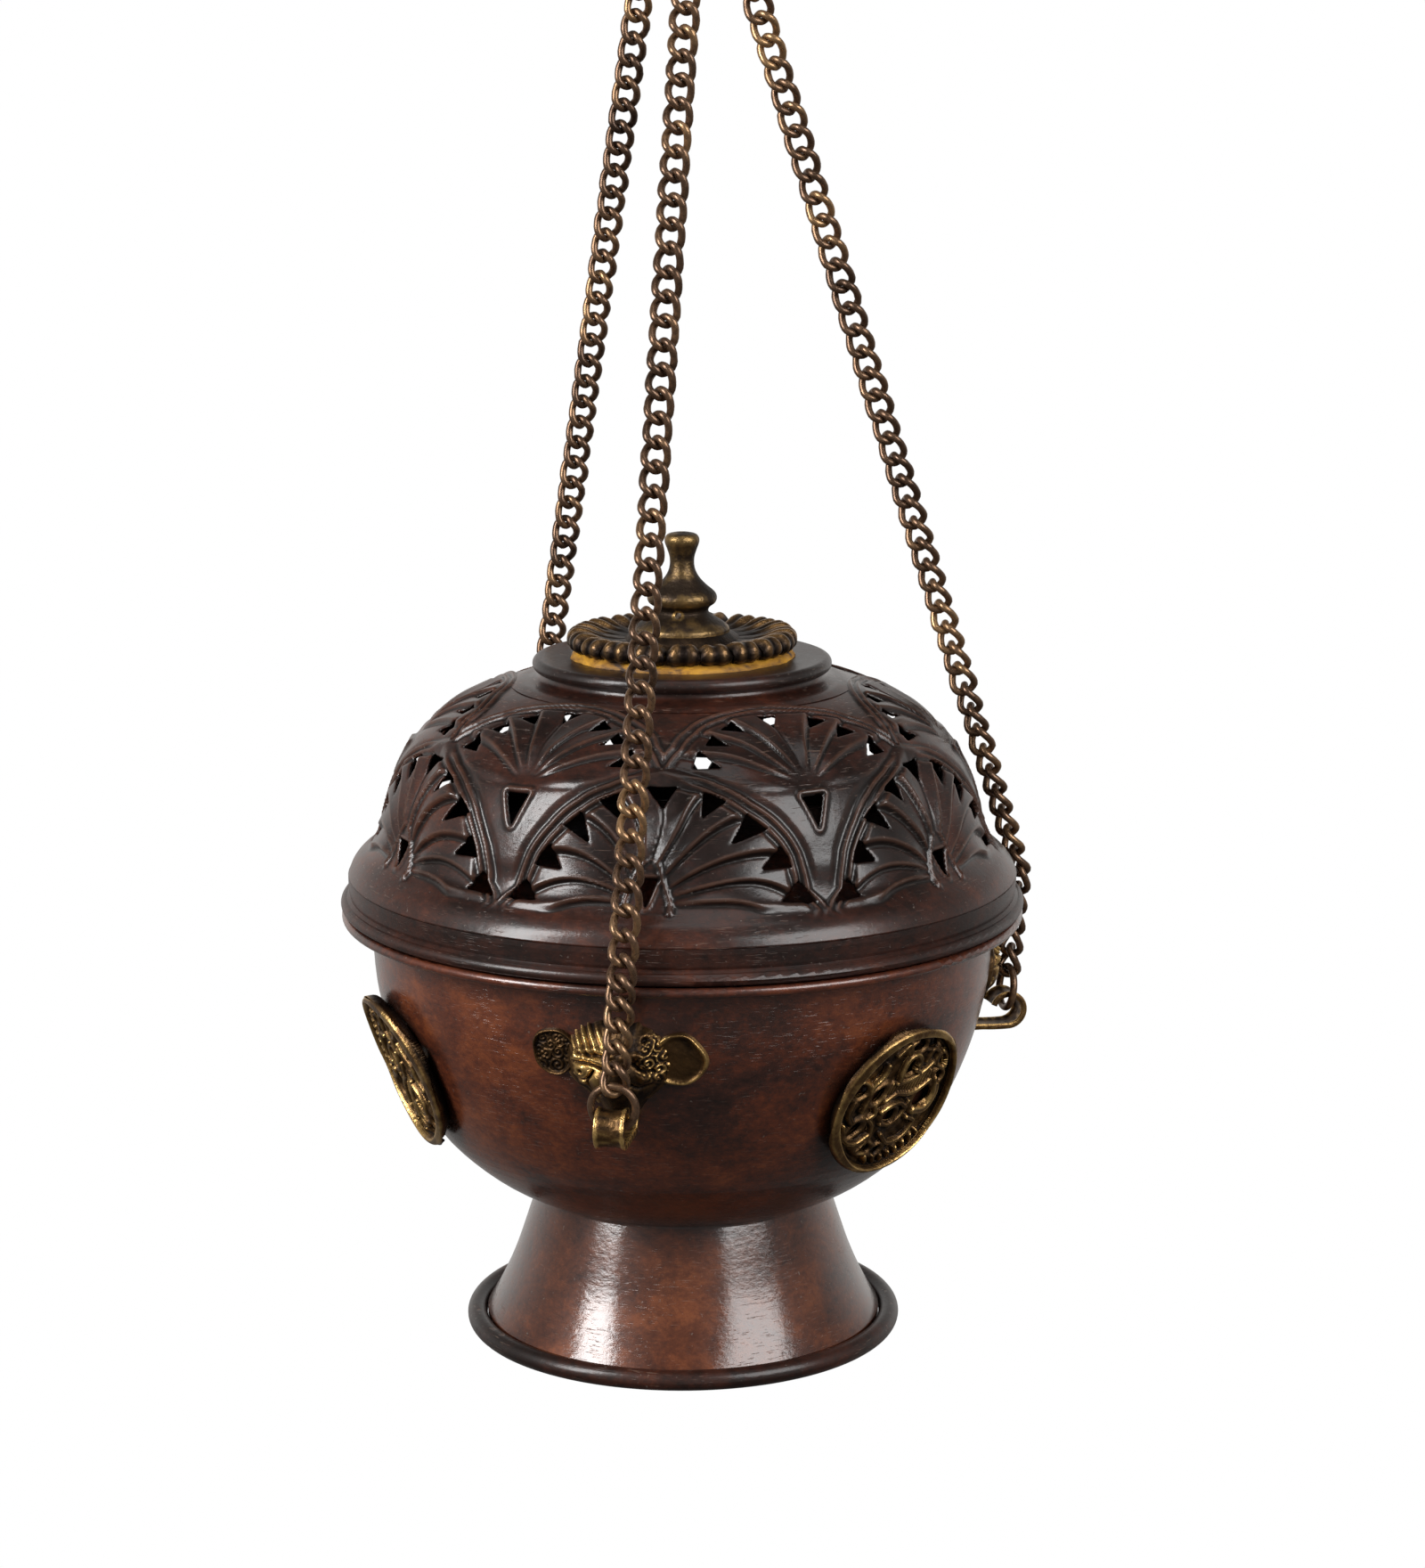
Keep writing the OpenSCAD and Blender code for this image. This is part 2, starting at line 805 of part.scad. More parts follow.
color(dark)
        pan_bail();
color(copper)
        pan_ledges();
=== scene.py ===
import json
import math

import bpy
import numpy as np
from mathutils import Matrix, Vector


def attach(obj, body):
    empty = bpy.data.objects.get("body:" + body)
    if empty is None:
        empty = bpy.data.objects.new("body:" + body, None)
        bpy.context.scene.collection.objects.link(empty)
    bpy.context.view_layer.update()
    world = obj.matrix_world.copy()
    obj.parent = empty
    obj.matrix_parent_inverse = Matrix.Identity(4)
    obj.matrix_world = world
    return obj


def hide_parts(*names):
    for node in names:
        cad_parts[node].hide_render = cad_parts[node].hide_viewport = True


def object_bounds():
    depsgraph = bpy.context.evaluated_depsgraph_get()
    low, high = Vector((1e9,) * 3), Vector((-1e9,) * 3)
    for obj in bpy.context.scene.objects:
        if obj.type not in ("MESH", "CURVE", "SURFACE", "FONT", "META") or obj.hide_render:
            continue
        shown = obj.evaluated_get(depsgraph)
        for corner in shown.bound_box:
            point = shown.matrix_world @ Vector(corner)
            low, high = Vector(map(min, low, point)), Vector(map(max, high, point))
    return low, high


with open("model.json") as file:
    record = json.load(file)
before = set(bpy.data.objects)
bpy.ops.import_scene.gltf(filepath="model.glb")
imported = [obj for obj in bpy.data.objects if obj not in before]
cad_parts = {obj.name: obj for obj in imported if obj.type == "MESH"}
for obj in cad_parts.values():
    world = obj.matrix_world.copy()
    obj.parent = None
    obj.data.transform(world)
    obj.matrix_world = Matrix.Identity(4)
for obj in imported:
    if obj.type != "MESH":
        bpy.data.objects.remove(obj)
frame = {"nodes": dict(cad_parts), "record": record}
cad_low, cad_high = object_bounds()
nodes = frame["nodes"]

MM = 0.001
RIM = -329.0
CHAINS = ("front", "right", "rear")
LUG_AZIMUTH = {"front": -10.5, "right": 105.0, "rear": -150.0}
KNEE_AZIMUTH = {"front": -8.4, "right": 106.5, "rear": -151.5}
MEDAL_AZIMUTH = {"right": 44.0, "rear": 158.0, "left": -67.5}
ALONG_RING = {"front": 7.55, "right": 2.1, "rear": -3.6}
RING_TURN = math.radians(-50)
RING_RADIUS = 11.0
RING_MIDDLE = -48.75


# ---- meshes
def add_mesh(name, points, faces, body, material, replaces=(), layers=None):
    """A smooth mesh piece from points in millimetres, riding on a CAD body."""
    mesh = bpy.data.meshes.new(name)
    mesh.from_pydata((np.asarray(points, float) * MM).tolist(), [], faces)
    mesh.update()
    mesh.polygons.foreach_set("use_smooth", [True] * len(mesh.polygons))
    for layer, values in (layers or {}).items():
        data = mesh.attributes.new(layer, "FLOAT", "POINT").data
        data.foreach_set("value", np.asarray(values, np.float32))
    piece = bpy.data.objects.new(name, mesh)
    bpy.context.scene.collection.objects.link(piece)
    piece.data.materials.append(material)
    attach(piece, body)
    if replaces:
        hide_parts(*replaces)
    return piece


def thicken(piece, thickness, offset):
    """Gives an open surface the thickness of its sheet, in millimetres."""
    sheet = piece.modifiers.new("sheet", "SOLIDIFY")
    sheet.thickness = thickness * MM
    sheet.offset = offset
    return sheet


def grid_faces(rows, columns, close_rows=False, close_columns=False, start=0):
    """Quads of a rows x columns grid of points, joined round either way if asked."""
    faces = []
    for i in range(rows if close_rows else rows - 1):
        for j in range(columns if close_columns else columns - 1):
            i2, j2 = (i + 1) % rows, (j + 1) % columns
            faces.append((start + i * columns + j, start + i * columns + j2,
                          start + i2 * columns + j2, start + i2 * columns + j))
    return faces


def unit(v):
    v = np.asarray(v, float)
    return v / np.linalg.norm(v, axis=-1, keepdims=True)


def sweep_closed(path, radius, sides, up):
    """A closed wire: rings of points round a closed path of centre points."""
    path = np.asarray(path, float)
    along = unit(np.roll(path, -1, 0) - np.roll(path, 1, 0))
    side = unit(np.cross(along, up))
    lift = np.cross(side, along)
    angle = np.linspace(0, 2 * math.pi, sides, endpoint=False)
    ring = side[:, None] * np.cos(angle)[None, :, None] + lift[:, None] * np.sin(angle)[None, :, None]
    return (path[:, None] + ring * np.reshape(radius, (-1, 1, 1))).reshape(-1, 3)


# ---- chains
LINK_STEPS = 30
RING_STEPS = 40
WIRE_SIDES = 12
WIRE = 0.9
LINK_HALF_WIDTH = 2.85
LINK_HALF_LENGTH = 3.73
LINK_TWIST = math.radians(54)
UPPER_LINKS = 50
LOWER_LINKS = 5
# the rings that hold a chain at its two ends, and where the first upper link hangs
RING_WIRE = 0.92
TOP_RING = 3.6
TOP_RING_DROP = 0.85
FIRST_LINK = 6.4
LUG_RING = 5.2
LUG_PLAY = 0.15
# how far each run reaches past the knee; the eye and the knee as radius, height over the rim
KNEE_SLACK = 1.4
EYE_AT = (84.6, -33.8)
KNEE_AT = (89.0, 1.5)
# degrees that each upper run's links turn through, from the top to the knee
RUN_TURNS = {"front": (4, 16), "right": (-2, 62), "rear": (4, -14)}
TAIL_TURN = -8


def at_azimuth(radius, height, azimuth):
    """A point at an azimuth measured from the front, height from the rim."""
    a = math.radians(azimuth)
    return np.array([radius * math.sin(a), -radius * math.cos(a), RIM + height])


def stand_out(across, out, level, turn):
    """Places measured across, outwards and up from the rim, turned from the front in radians."""
    return np.stack([out * math.sin(turn) + across * math.cos(turn),
                     -out * math.cos(turn) + across * math.sin(turn), RIM + level], -1)


def curb_links(start, end, first, last, count, turn_from, turn_to, seed):
    """Twisted links lying flat along a line, each a little different."""
    chance = np.random.RandomState(seed)
    down = unit(np.asarray(end) - start)
    wide = unit(np.array([1.0, 0, 0]) - down[0] * down)
    front = np.cross(down, wide)
    hand = -np.sign(front[1])
    front = front * hand
    points, faces, tint = [], [], []
    t = np.linspace(0, 2 * math.pi, LINK_STEPS, endpoint=False)
    seam = np.minimum(np.abs(t - 1.5 * math.pi), 1)
    for i in range(count):
        share = i / max(count - 1, 1)
        turn = math.radians(turn_from + (turn_to - turn_from) * share ** 2 + chance.normal(0, 5))
        x_axis = wide * math.cos(turn) + front * math.sin(turn)
        y_axis = front * math.cos(turn) - wide * math.sin(turn)
        half_width = LINK_HALF_WIDTH * (1 + chance.normal(0, 0.025))
        middle = start + down * (first + (last - first) * share)
        across = half_width * np.cos(t) / (1 + 0.07 * np.cos(4 * t))
        twist = hand * LINK_TWIST * np.sin(t) * (1 + chance.normal(0, 0.05))
        path = (middle
                + np.outer(across * np.cos(twist), x_axis)
                - np.outer(LINK_HALF_LENGTH * np.sin(t), down)
                + np.outer(across * np.sin(twist), y_axis))
        radius = WIRE * (1 - 0.1 * np.exp(-(seam / 0.07) ** 2) + 0.03 * chance.normal(0, 1, LINK_STEPS))
        points.append(sweep_closed(path, radius, WIRE_SIDES, y_axis))
        faces += grid_faces(LINK_STEPS, WIRE_SIDES, True, True, i * LINK_STEPS * WIRE_SIDES)
        tint += [chance.uniform(0, 1)] * (LINK_STEPS * WIRE_SIDES)
    return np.concatenate(points), faces, tint


def circle_wire(middle, radius, x_axis, y_axis, wire):
    """A round ring of wire in the plane of two axes."""
    t = np.linspace(0, 2 * math.pi, RING_STEPS, endpoint=False)
    path = middle + np.outer(np.cos(t) * radius, x_axis) + np.outer(np.sin(t) * radius, y_axis)
    return sweep_closed(path, np.full(RING_STEPS, wire), WIRE_SIDES, np.cross(x_axis, y_axis))


def chain_top(name):
    """Where a chain hangs on the gathering ring, and the ring's direction there."""
    share = ALONG_RING[name] / RING_RADIUS
    level = math.sqrt(1 - share ** 2)
    flat_way = np.array([math.cos(RING_TURN), math.sin(RING_TURN), 0])
    top = ALONG_RING[name] * flat_way + (0, 0, RING_MIDDLE - RING_RADIUS * level)
    return top, level * flat_way + (0, 0, share)


def build_chains(material):
    for k, name in enumerate(CHAINS):
        top, ring_way = chain_top(name)
        knee, eye = at_azimuth(*KNEE_AT, KNEE_AZIMUTH[name]), at_azimuth(*EYE_AT, LUG_AZIMUTH[name])
        run, reach = np.linalg.norm(knee - top), np.linalg.norm(knee - eye)
        points, faces, tint = curb_links(top, knee, FIRST_LINK, run + KNEE_SLACK - LINK_HALF_LENGTH,
                                         UPPER_LINKS, *RUN_TURNS[name], seed=11 + k)
        down = unit(knee - top)
        facing = unit(ring_way - ring_way.dot(down) * down)
        ring = circle_wire(top + down * TOP_RING_DROP, TOP_RING, down, np.cross(facing, down), RING_WIRE)
        faces += grid_faces(RING_STEPS, WIRE_SIDES, True, True, len(points))
        add_mesh("chain_run_" + name, np.concatenate([points, ring]), faces, "upper_" + name,
                 material, ["chain_upper_" + name], {"tint": tint + [0.5] * len(ring)})
        first = 2 * (LUG_RING - RING_WIRE) - LUG_PLAY + LINK_HALF_LENGTH
        turn = RUN_TURNS[name][1]
        points, faces, tint = curb_links(eye, knee, first, reach + KNEE_SLACK - LINK_HALF_LENGTH,
                                         LOWER_LINKS, turn, turn + TAIL_TURN, seed=31 + k)
        add_mesh("chain_tail_" + name, points, faces, "lower_" + name, material,
                 ["chain_lower_" + name], {"tint": tint})


# ---- pierced lid
# the dome's outline down to the rim, as radius and height over the rim
DOME = [(33.4, 55.6), (38, 55.2), (43, 54), (48, 52.3), (53, 50.1), (57, 47.8), (61, 44.6),
        (64.5, 41), (67.5, 36.6), (70, 31.2), (72, 24.8), (73.7, 18.4), (74.9, 15.9),
        (76.9, 14), (79.3, 12.2), (81.1, 10), (82.1, 7.8)]
LID_COLUMNS, LID_ROWS = 900, 178
LID_SHEET = 0.9
# turn of the whole pattern in degrees, and how far down the slope the fans spring from
FAN_TURN = -3.5
LOWER_BASE = 62.0
UPPER_BASE = 35.0
# corners of the cut-outs, in degrees from the middle of the fan and mm down the slope
LOWER_HOLES = [
    [(22.4, 62.6), (28.2, 63.2), (27.0, 60.2), (25.2, 57.6)],
    [(18.2, 54.9), (24.2, 54.6), (23.2, 52.0), (21.4, 49.6)],
    [(12.8, 48.8), (19.6, 45.0), (17.9, 43.2), (15.6, 41.6)],
    [(7.2, 43.4), (12.2, 38.9), (10.0, 37.8), (7.4, 37.0)],
    [(0, 34.7), (2.9, 34.9), (0, 40.6)],
    [(0, 57.0), (2.2, 57.0), (0, 63.6)]
]
UPPER_HOLES = [
    [(18.2, 30.2), (24.2, 30.2), (23.4, 27.4), (22.4, 25.0)],
    [(14.0, 23.4), (20.4, 23.2), (19.5, 21.0), (18.0, 19.2)],
    [(8.6, 18.2), (15.4, 17.2), (13.5, 15.2), (11.4, 13.5)],
    [(0, 11.4), (3.2, 11.4), (0, 16.4)],
    [(0, 38.4), (2.6, 38.4), (0, 46.0)]
]
# the middle lines of the arches over the fans, in the same measures
LOWER_ARCH = [(29, 65), (26, 60), (24.5, 52), (21, 46), (16, 40.5), (10, 36.5), (5, 34), (0, 31.8)]
UPPER_ARCH = [(31.5, 32), (30, 29.5), (27, 24), (23, 18), (17, 13), (9, 9.8), (0, 8.5)]


def smooth_curve(points):
    """Distance along a run of points, and a function that gives the smooth curve there."""
    p = np.asarray(points, float)
    at = np.concatenate([[0], np.cumsum(np.linalg.norm(np.diff(p, axis=0), axis=1))])
    slope = np.gradient(p, at, axis=0)

    def where(s):
        i = np.clip(np.searchsorted(at, s, "right") - 1, 0, len(at) - 2)
        gap = at[i + 1] - at[i]
        t = ((s - at[i]) / gap)[..., None]
        gap = gap[..., None]
        return ((2 * t ** 3 - 3 * t ** 2 + 1) * p[i] + (t ** 3 - 2 * t ** 2 + t) * gap * slope[i]
                + (3 * t ** 2 - 2 * t ** 3) * p[i + 1] + (t ** 3 - t ** 2) * gap * slope[i + 1])

    return at[-1], where


DOME_LENGTH, dome_at = smooth_curve(DOME)


def degree_width(s):
    """Millimetres to one degree round the lid."""
    return dome_at(np.clip(s, 0, DOME_LENGTH))[..., 0] * math.pi / 180


def flat(points):
    return np.array([(a * degree_width(np.array(float(s))), s) for a, s in points])


def polygon_distance(x, y, corners):
    """Signed distance to a polygon: negative inside."""
    nearest = np.full(x.shape, 1e9)
    inside = np.zeros(x.shape, bool)
    for (x1, y1), (x2, y2) in zip(corners, np.roll(corners, -1, 0)):
        dx, dy = x2 - x1, y2 - y1
        t = np.clip(((x - x1) * dx + (y - y1) * dy) / (dx * dx + dy * dy), 0, 1)
        nearest = np.minimum(nearest, np.hypot(x - x1 - t * dx, y - y1 - t * dy))
        if dy:
            inside ^= ((y1 > y) != (y2 > y)) & (x < dx * (y - y1) / dy + x1)
    return np.where(inside, -nearest, nearest)


def holes_distance(x, y, holes):
    best = np.full(x.shape, 1e9)
    for hole in holes:
        corners = flat(hole)
        if hole[0][0] == 0:
            corners = np.array([(-corners[1][0], corners[1][1]), tuple(corners[1]), tuple(corners[2])])
            best = np.minimum(best, polygon_distance(x, y, corners))
        else:
            best = np.minimum(best, polygon_distance(np.abs(x), y, corners))
    return best


def ease(value, low, high):
    t = np.clip((value - low) / (high - low), 0, 1)
    return t * t * (3 - 2 * t)


def hump(value, width):
    return np.exp(-(value / width) ** 2)


def hand_made(azimuth, s):
    """The pattern's own place on the lid, with the small unevenness of hand work."""
    t = np.radians(azimuth - FAN_TURN)
    turn = (azimuth - FAN_TURN + 0.5 * np.sin(3 * t + 0.09 * s) + 0.4 * np.sin(7 * t - 0.12 * s + 1)
            + 0.25 * np.sin(17 * t + 0.2 * s + 2))
    turn = turn + 2.8 * hump(np.mod(azimuth + 185, 360) - 180, 14) * ease(s, 42, 58)
    down = s + 0.45 * np.sin(5 * t + 1.5) + 0.25 * np.sin(13 * t + 0.15 * s)
    return turn, down


def pattern(azimuth, s):
    """Folded positions: the lower fan's and the upper fan's flat x, and y down the slope."""
    turn, y = hand_made(azimuth, s)
    width = degree_width(y)
    return (np.mod(turn + 30, 60) - 30) * width, (np.mod(turn, 60) - 30) * width, y


def polar(x, y, base):
    return np.degrees(np.arctan2(base - y, np.abs(x))), np.hypot(x, base - y)


def arch_gap(angle, reach, points, base):
    """Distance outside an arch's middle line, measured from the fan's base."""
    line = flat(points)
    angles, reaches = polar(line[:, 0], line[:, 1], base)
    return reach - np.interp(angle, angles, reaches)


def petals(angle, reach, creases, span, bulge):
    """Overlapping leaves: each climbs to its outer edge, then drops to the next."""
    bend = bulge * np.sin(math.pi * np.clip(1 - reach / span, 0, 1)) * np.clip((90 - angle) / 20, 0, 1)
    turned = np.clip(angle - bend, creases[0], 90)
    i = np.clip(np.searchsorted(creases, turned, "right") - 1, 0, len(creases) - 2)
    edges = np.asarray(creases, float)
    u = (edges[i + 1] - turned) / (edges[i + 1] - edges[i])
    climb = 0.25 + 0.75 * np.clip(u / 0.8, 0, 1) ** 1.3
    drop = 0.5 + 0.5 * np.cos(math.pi * np.clip((u - 0.8) / 0.2, 0, 1))
    start = ease(u, 0, 0.08)
    return climb * drop * start


def relief(azimuth, s):
    """How far the sheet stands out from the plain dome, in millimetres."""
    x, x_up, y = pattern(azimuth, s)
    cut_low, cut_up = holes_distance(x, y, LOWER_HOLES), holes_distance(x_up, y, UPPER_HOLES)
    angle, reach = polar(x, y, LOWER_BASE)
    gap = arch_gap(angle, reach, LOWER_ARCH, LOWER_BASE)
    angle_up, reach_up = polar(x_up, y, UPPER_BASE)
    gap_up = arch_gap(angle_up, reach_up, UPPER_ARCH, UPPER_BASE)

    leaf = petals(angle, reach, [-14, 1.8, 18.4, 41, 65, 90], 30, 12)
    in_fan = ease(-gap, 1.6, 3.4) * ease(reach, 3, 13) * ease(65.6 - y, 0, 2.2)
    height = 1.5 * leaf * in_fan

    leaf_up = petals(angle_up, reach_up, [-20, 17.3, 39, 61.6, 90], 26, 6)
    in_fan_up = ease(-gap_up, 1.2, 2.8) * ease(gap, 1.9, 3.4) * ease(reach_up, 2, 10)
    height = height + 0.95 * leaf_up * in_fan_up * ease(UPPER_BASE + 2 - y, 0, 3)

    crown = ease(10 - np.abs(x), 0, 7) * ease(42 - y, 0, 4)
    twin = hump(np.abs(gap) - 1.12, 0.66)
    single = hump(gap, 2.1)
    band = (1 - crown) * twin * 1.25 + crown * single * 1.05
    height = np.maximum(height, band * ease(67.5 - y, 0, 6))

    spring = ease(gap, 0.5, 2.5)
    twin_up = hump(np.abs(gap_up) - 0.95, 0.55) * spring * ease(34 - y, 0, 3)
    height = np.maximum(height, 0.85 * twin_up)

    between = ease(gap, 2.0, 4.2) * ease(y, 33, 38) * ease(62 - y, 0, 8)
    height = height + 0.75 * between
    drop = holes_distance(x_up, y, UPPER_HOLES[4:])
    height = height + 0.75 * hump(drop - 0.95, 0.55) * (1 - 0.45 * ease(y, 37.5, 42))

    frame_line = np.abs(x) - 5.6 * np.sqrt(np.clip((y - 52.6) / 9.6, 0, 1))
    boss = hump(frame_line, 0.62) * ease(y, 52, 53.2) * ease(66 - y, 0, 1.5)
    in_boss = ease(-frame_line, 0, 1.2) * ease(y, 52.8, 54) * ease(65.4 - y, 0, 1.5)
    height = height * (1 - in_boss) + 0.35 * in_boss
    height = np.maximum(height, 1.15 * boss)
    tongue = holes_distance(x, y, LOWER_HOLES[5:])
    height = height + 0.5 * hump(tongue - 0.7, 0.45) * in_boss

    cut = np.minimum(cut_low, cut_up)
    height = height - 0.22 * np.exp(-np.clip(cut, 0, 9) / 0.25)
    return height - 0.1 * ease(y, 5, 12) * ease(66 - y, 0, 2)


def clip_grid(azimuth, s, keep):
    """Grid cells cut along the line where keep is 0, as points and faces."""
    rows, columns = keep.shape
    points = [np.stack([azimuth.ravel(), s.ravel()], 1)]
    keep = np.where(np.abs(keep) < 0.03, 0.0, keep)
    total = rows * columns
    index = np.arange(total).reshape(rows, columns)
    corner = [index[:-1], np.roll(index, -1, 1)[:-1], np.roll(index, -1, 1)[1:], index[1:]]
    corner = np.stack([c.ravel() for c in corner], 1)
    value = keep.ravel()[corner]
    whole = (value >= 0).all(1)
    faces = corner[whole].tolist()
    extra, made = [], {}
    for cell, v in zip(corner[~whole & (value > 0).any(1)].tolist(),
                       value[~whole & (value > 0).any(1)].tolist()):
        polygon = []
        for k in range(4):
            a, b, va, vb = cell[k], cell[(k + 1) % 4], v[k], v[(k + 1) % 4]
            if va >= 0:
                polygon.append(a)
            if (va > 0 > vb) or (vb > 0 > va):
                key = (min(a, b), max(a, b))
                if key not in made:
                    t = va / (va - vb)
                    pa, pb = points[0][a], points[0][b]
                    step = pb - pa
                    step[0] = (step[0] + 180) % 360 - 180
                    made[key] = total + len(extra)
                    extra.append(pa + step * t)
                polygon.append(made[key])
        if len(polygon) >= 3:
            faces.append(tuple(polygon))
    points = np.concatenate(points + ([np.array(extra)] if extra else []))
    used = np.zeros(len(points), bool)
    used[np.concatenate([np.asarray(f) for f in faces])] = True
    number = np.cumsum(used) - 1
    return points[used], [tuple(int(number[i]) for i in f) for f in faces]


def on_dome(azimuth, s, height):
    point = dome_at(s)
    ahead, behind = dome_at(np.minimum(s + 0.4, DOME_LENGTH)), dome_at(np.maximum(s - 0.4, 0))
    slope = unit(ahead - behind)
    r = point[:, 0] - slope[:, 1] * height
    z = point[:, 1] + slope[:, 0] * height
    a = np.radians(azimuth)
    return np.stack([r * np.sin(a), -r * np.cos(a), RIM + z], 1)


def build_lid(outside, inside):
    azimuth, s = np.meshgrid(np.arange(LID_COLUMNS) * 360 / LID_COLUMNS,
                             np.linspace(0, DOME_LENGTH, LID_ROWS))
    x, x_up, y = pattern(azimuth, s)
    cut = np.minimum(holes_distance(x, y, LOWER_HOLES), holes_distance(x_up, y, UPPER_HOLES))
    points, faces = clip_grid(azimuth, s, cut)
    around, along = points[:, 0], points[:, 1]
    height = relief(around, along)
    step = 1.0
    turn = step / degree_width(along)
    near = [relief(around + turn, along), relief(around - turn, along),
            relief(around, np.minimum(along + step, DOME_LENGTH)),
            relief(around, np.maximum(along - step, 0))]
    proud = height - np.mean(near, 0)
    wavy = 0.12 * np.sin(np.radians(9 * around) + 0.3 * along) * np.sin(0.21 * along + 1)
    lid = add_mesh("pierced_lid", on_dome(around, along, height + wavy), [f[::-1] for f in faces], "lid",
                   outside, ["lid_dome"], {"proud": proud, "height": height})
    lid.data.materials.append(inside)
    thicken(lid, LID_SHEET, -1).material_offset = 1


# ---- cast fittings
# the bowl's outside as radius and height over the rim
BOWL = [(53, -63.5), (59.8, -57), (64.6, -50), (68.6, -42), (71.7, -34), (74, -26), (75.6, -18),
        (76.3, -9), (76.6, -2), (76.6, 0)]


def bowl_radius(height):
    radius, level = np.array(BOWL).T
    return np.interp(height, level, radius)


def line_gap(x, y, points):
    """Distance from a smooth open curve through a few points."""
    length, where = smooth_curve(points)
    line = where(np.linspace(0, length, 6 * len(points)))
    best = np.full(np.shape(x), 1e9)
    for (x1, y1), (x2, y2) in zip(line[:-1], line[1:]):
        dx, dy = x2 - x1, y2 - y1
        t = np.clip(((x - x1) * dx + (y - y1) * dy) / (dx * dx + dy * dy), 0, 1)
        best = np.minimum(best, np.hypot(x - x1 - t * dx, y - y1 - t * dy))
    return best


def lump(x, y, middle, size, height):
    """A smooth round swelling."""
    return height * np.exp(-(((x - middle[0]) / size[0]) ** 2 + ((y - middle[1]) / size[1]) ** 2) ** 1.5)


def curls(x, y, middle, spread_to, number, seed):
    """Little spirals of hair packed round a point."""
    chance = np.random.RandomState(seed)
    best, wave = np.full(x.shape, 1e9), np.zeros(x.shape)
    for _ in range(number):
        cx, cy = middle + chance.uniform(-1, 1, 2) * spread_to
        gap = np.hypot(x - cx, y - cy)
        turn = np.arctan2(y - cy, x - cx) * chance.choice([-1, 1])
        wave = np.where(gap < best, np.cos(2 * math.pi * gap / 1.15 - turn), wave)
        best = np.minimum(best, gap)
    return wave


def curvature(field, x, y, step=0.45):
    """How far a relief stands above the places round it."""
    near = [field(x + step, y), field(x - step, y), field(x, y + step), field(x, y - step)]
    return field(x, y) - np.mean(near, 0)


MASK_AT = (70.8, -20.5)
HEAD_DEPTH = 10.4
EAR_RINGS, EAR_SIDES = 34, 110
# each ear's place across and up, half width and half height
EARS = {-1: (-15.6, 1.2, 5.8, 6.0), 1: (13.6, 0.6, 6.6, 6.7)}


# lids, brows, jaw and folds, then the cuts between them: line, half width, rise
FACE_LINES = [
    ([(-9.6, 1.9), (-6.8, 3.4), (-3.6, 3.5), (-1.2, 2.6)], 0.8, 0.8),
    ([(-10.3, 0.5), (-8.2, 1.5), (-5.4, 1.5), (-2.2, 0.8)], 0.75, 1.0),
    ([(1.6, 2.4), (4.2, 2.8), (6.6, 1.6)], 0.9, 0.9),
    ([(-11.6, -3.4), (-8.2, -6.6), (-4.8, -9.4)], 0.45, 0.7),
    ([(11.6, -2.8), (9.2, -5.6), (6.4, -8.4)], 0.5, 0.6),
    ([(-9.9, -2.6), (-8.4, -3.3), (-6.7, -2.6), (-5.9, -1.4)], 0.3, 0.45),
    ([(-8.6, 2.6), (-6.0, 2.3), (-3.2, 2.4), (-1.6, 1.6)], 0.42, -0.7),
    ([(-10.6, 0.2), (-8.4, 0.35), (-5.8, 0.2), (-2.4, -0.7)], 0.36, -1.0),
    ([(-9.6, -3.3), (-7.6, -3.7), (-6.0, -2.6), (-5.3, -1.3)], 0.34, -0.8),
    ([(-5.6, -1.6), (-6.9, -4.2), (-5.4, -6.6), (-4.0, -7.6)], 0.36, -0.9),
    ([(-10.8, -4.9), (-8.0, -7.3), (-5.4, -9.6)], 0.32, -0.6),
    ([(4.2, 0.8), (5.6, -0.6), (8.4, -0.9)], 0.4, -0.9),
    ([(3.2, -4.2), (5.0, -5.4), (7.6, -4.4)], 0.4, -0.7)
]
# eyes with their pupils, cheeks, snout and nostrils: middle, half size, rise
FACE_LUMPS = [
    ((-8.2, -1.5), (2.0, 1.7), 1.1), ((-8.25, -1.75), (0.5, 0.5), -1.5),
    ((6.2, 5.6), (2.1, 2.0), 0.8), ((6.3, 5.9), (0.75, 0.6), -1.4),
    ((-3.7, -4.2), (2.6, 2.7), 1.4), ((6.9, -2.7), (1.9, 1.4), 1.0),
    ((-8.2, -4.7), (1.2, 0.9), 0.7), ((5.4, 3.2), (1.3, 1.2), 0.6),
    ((1.4, -2.2), (2.6, 3.0), 1.6), ((-0.6, -4.3), (0.6, 0.5), -1.0),
    ((3.2, -4.3), (0.6, 0.5), -1.0)
]


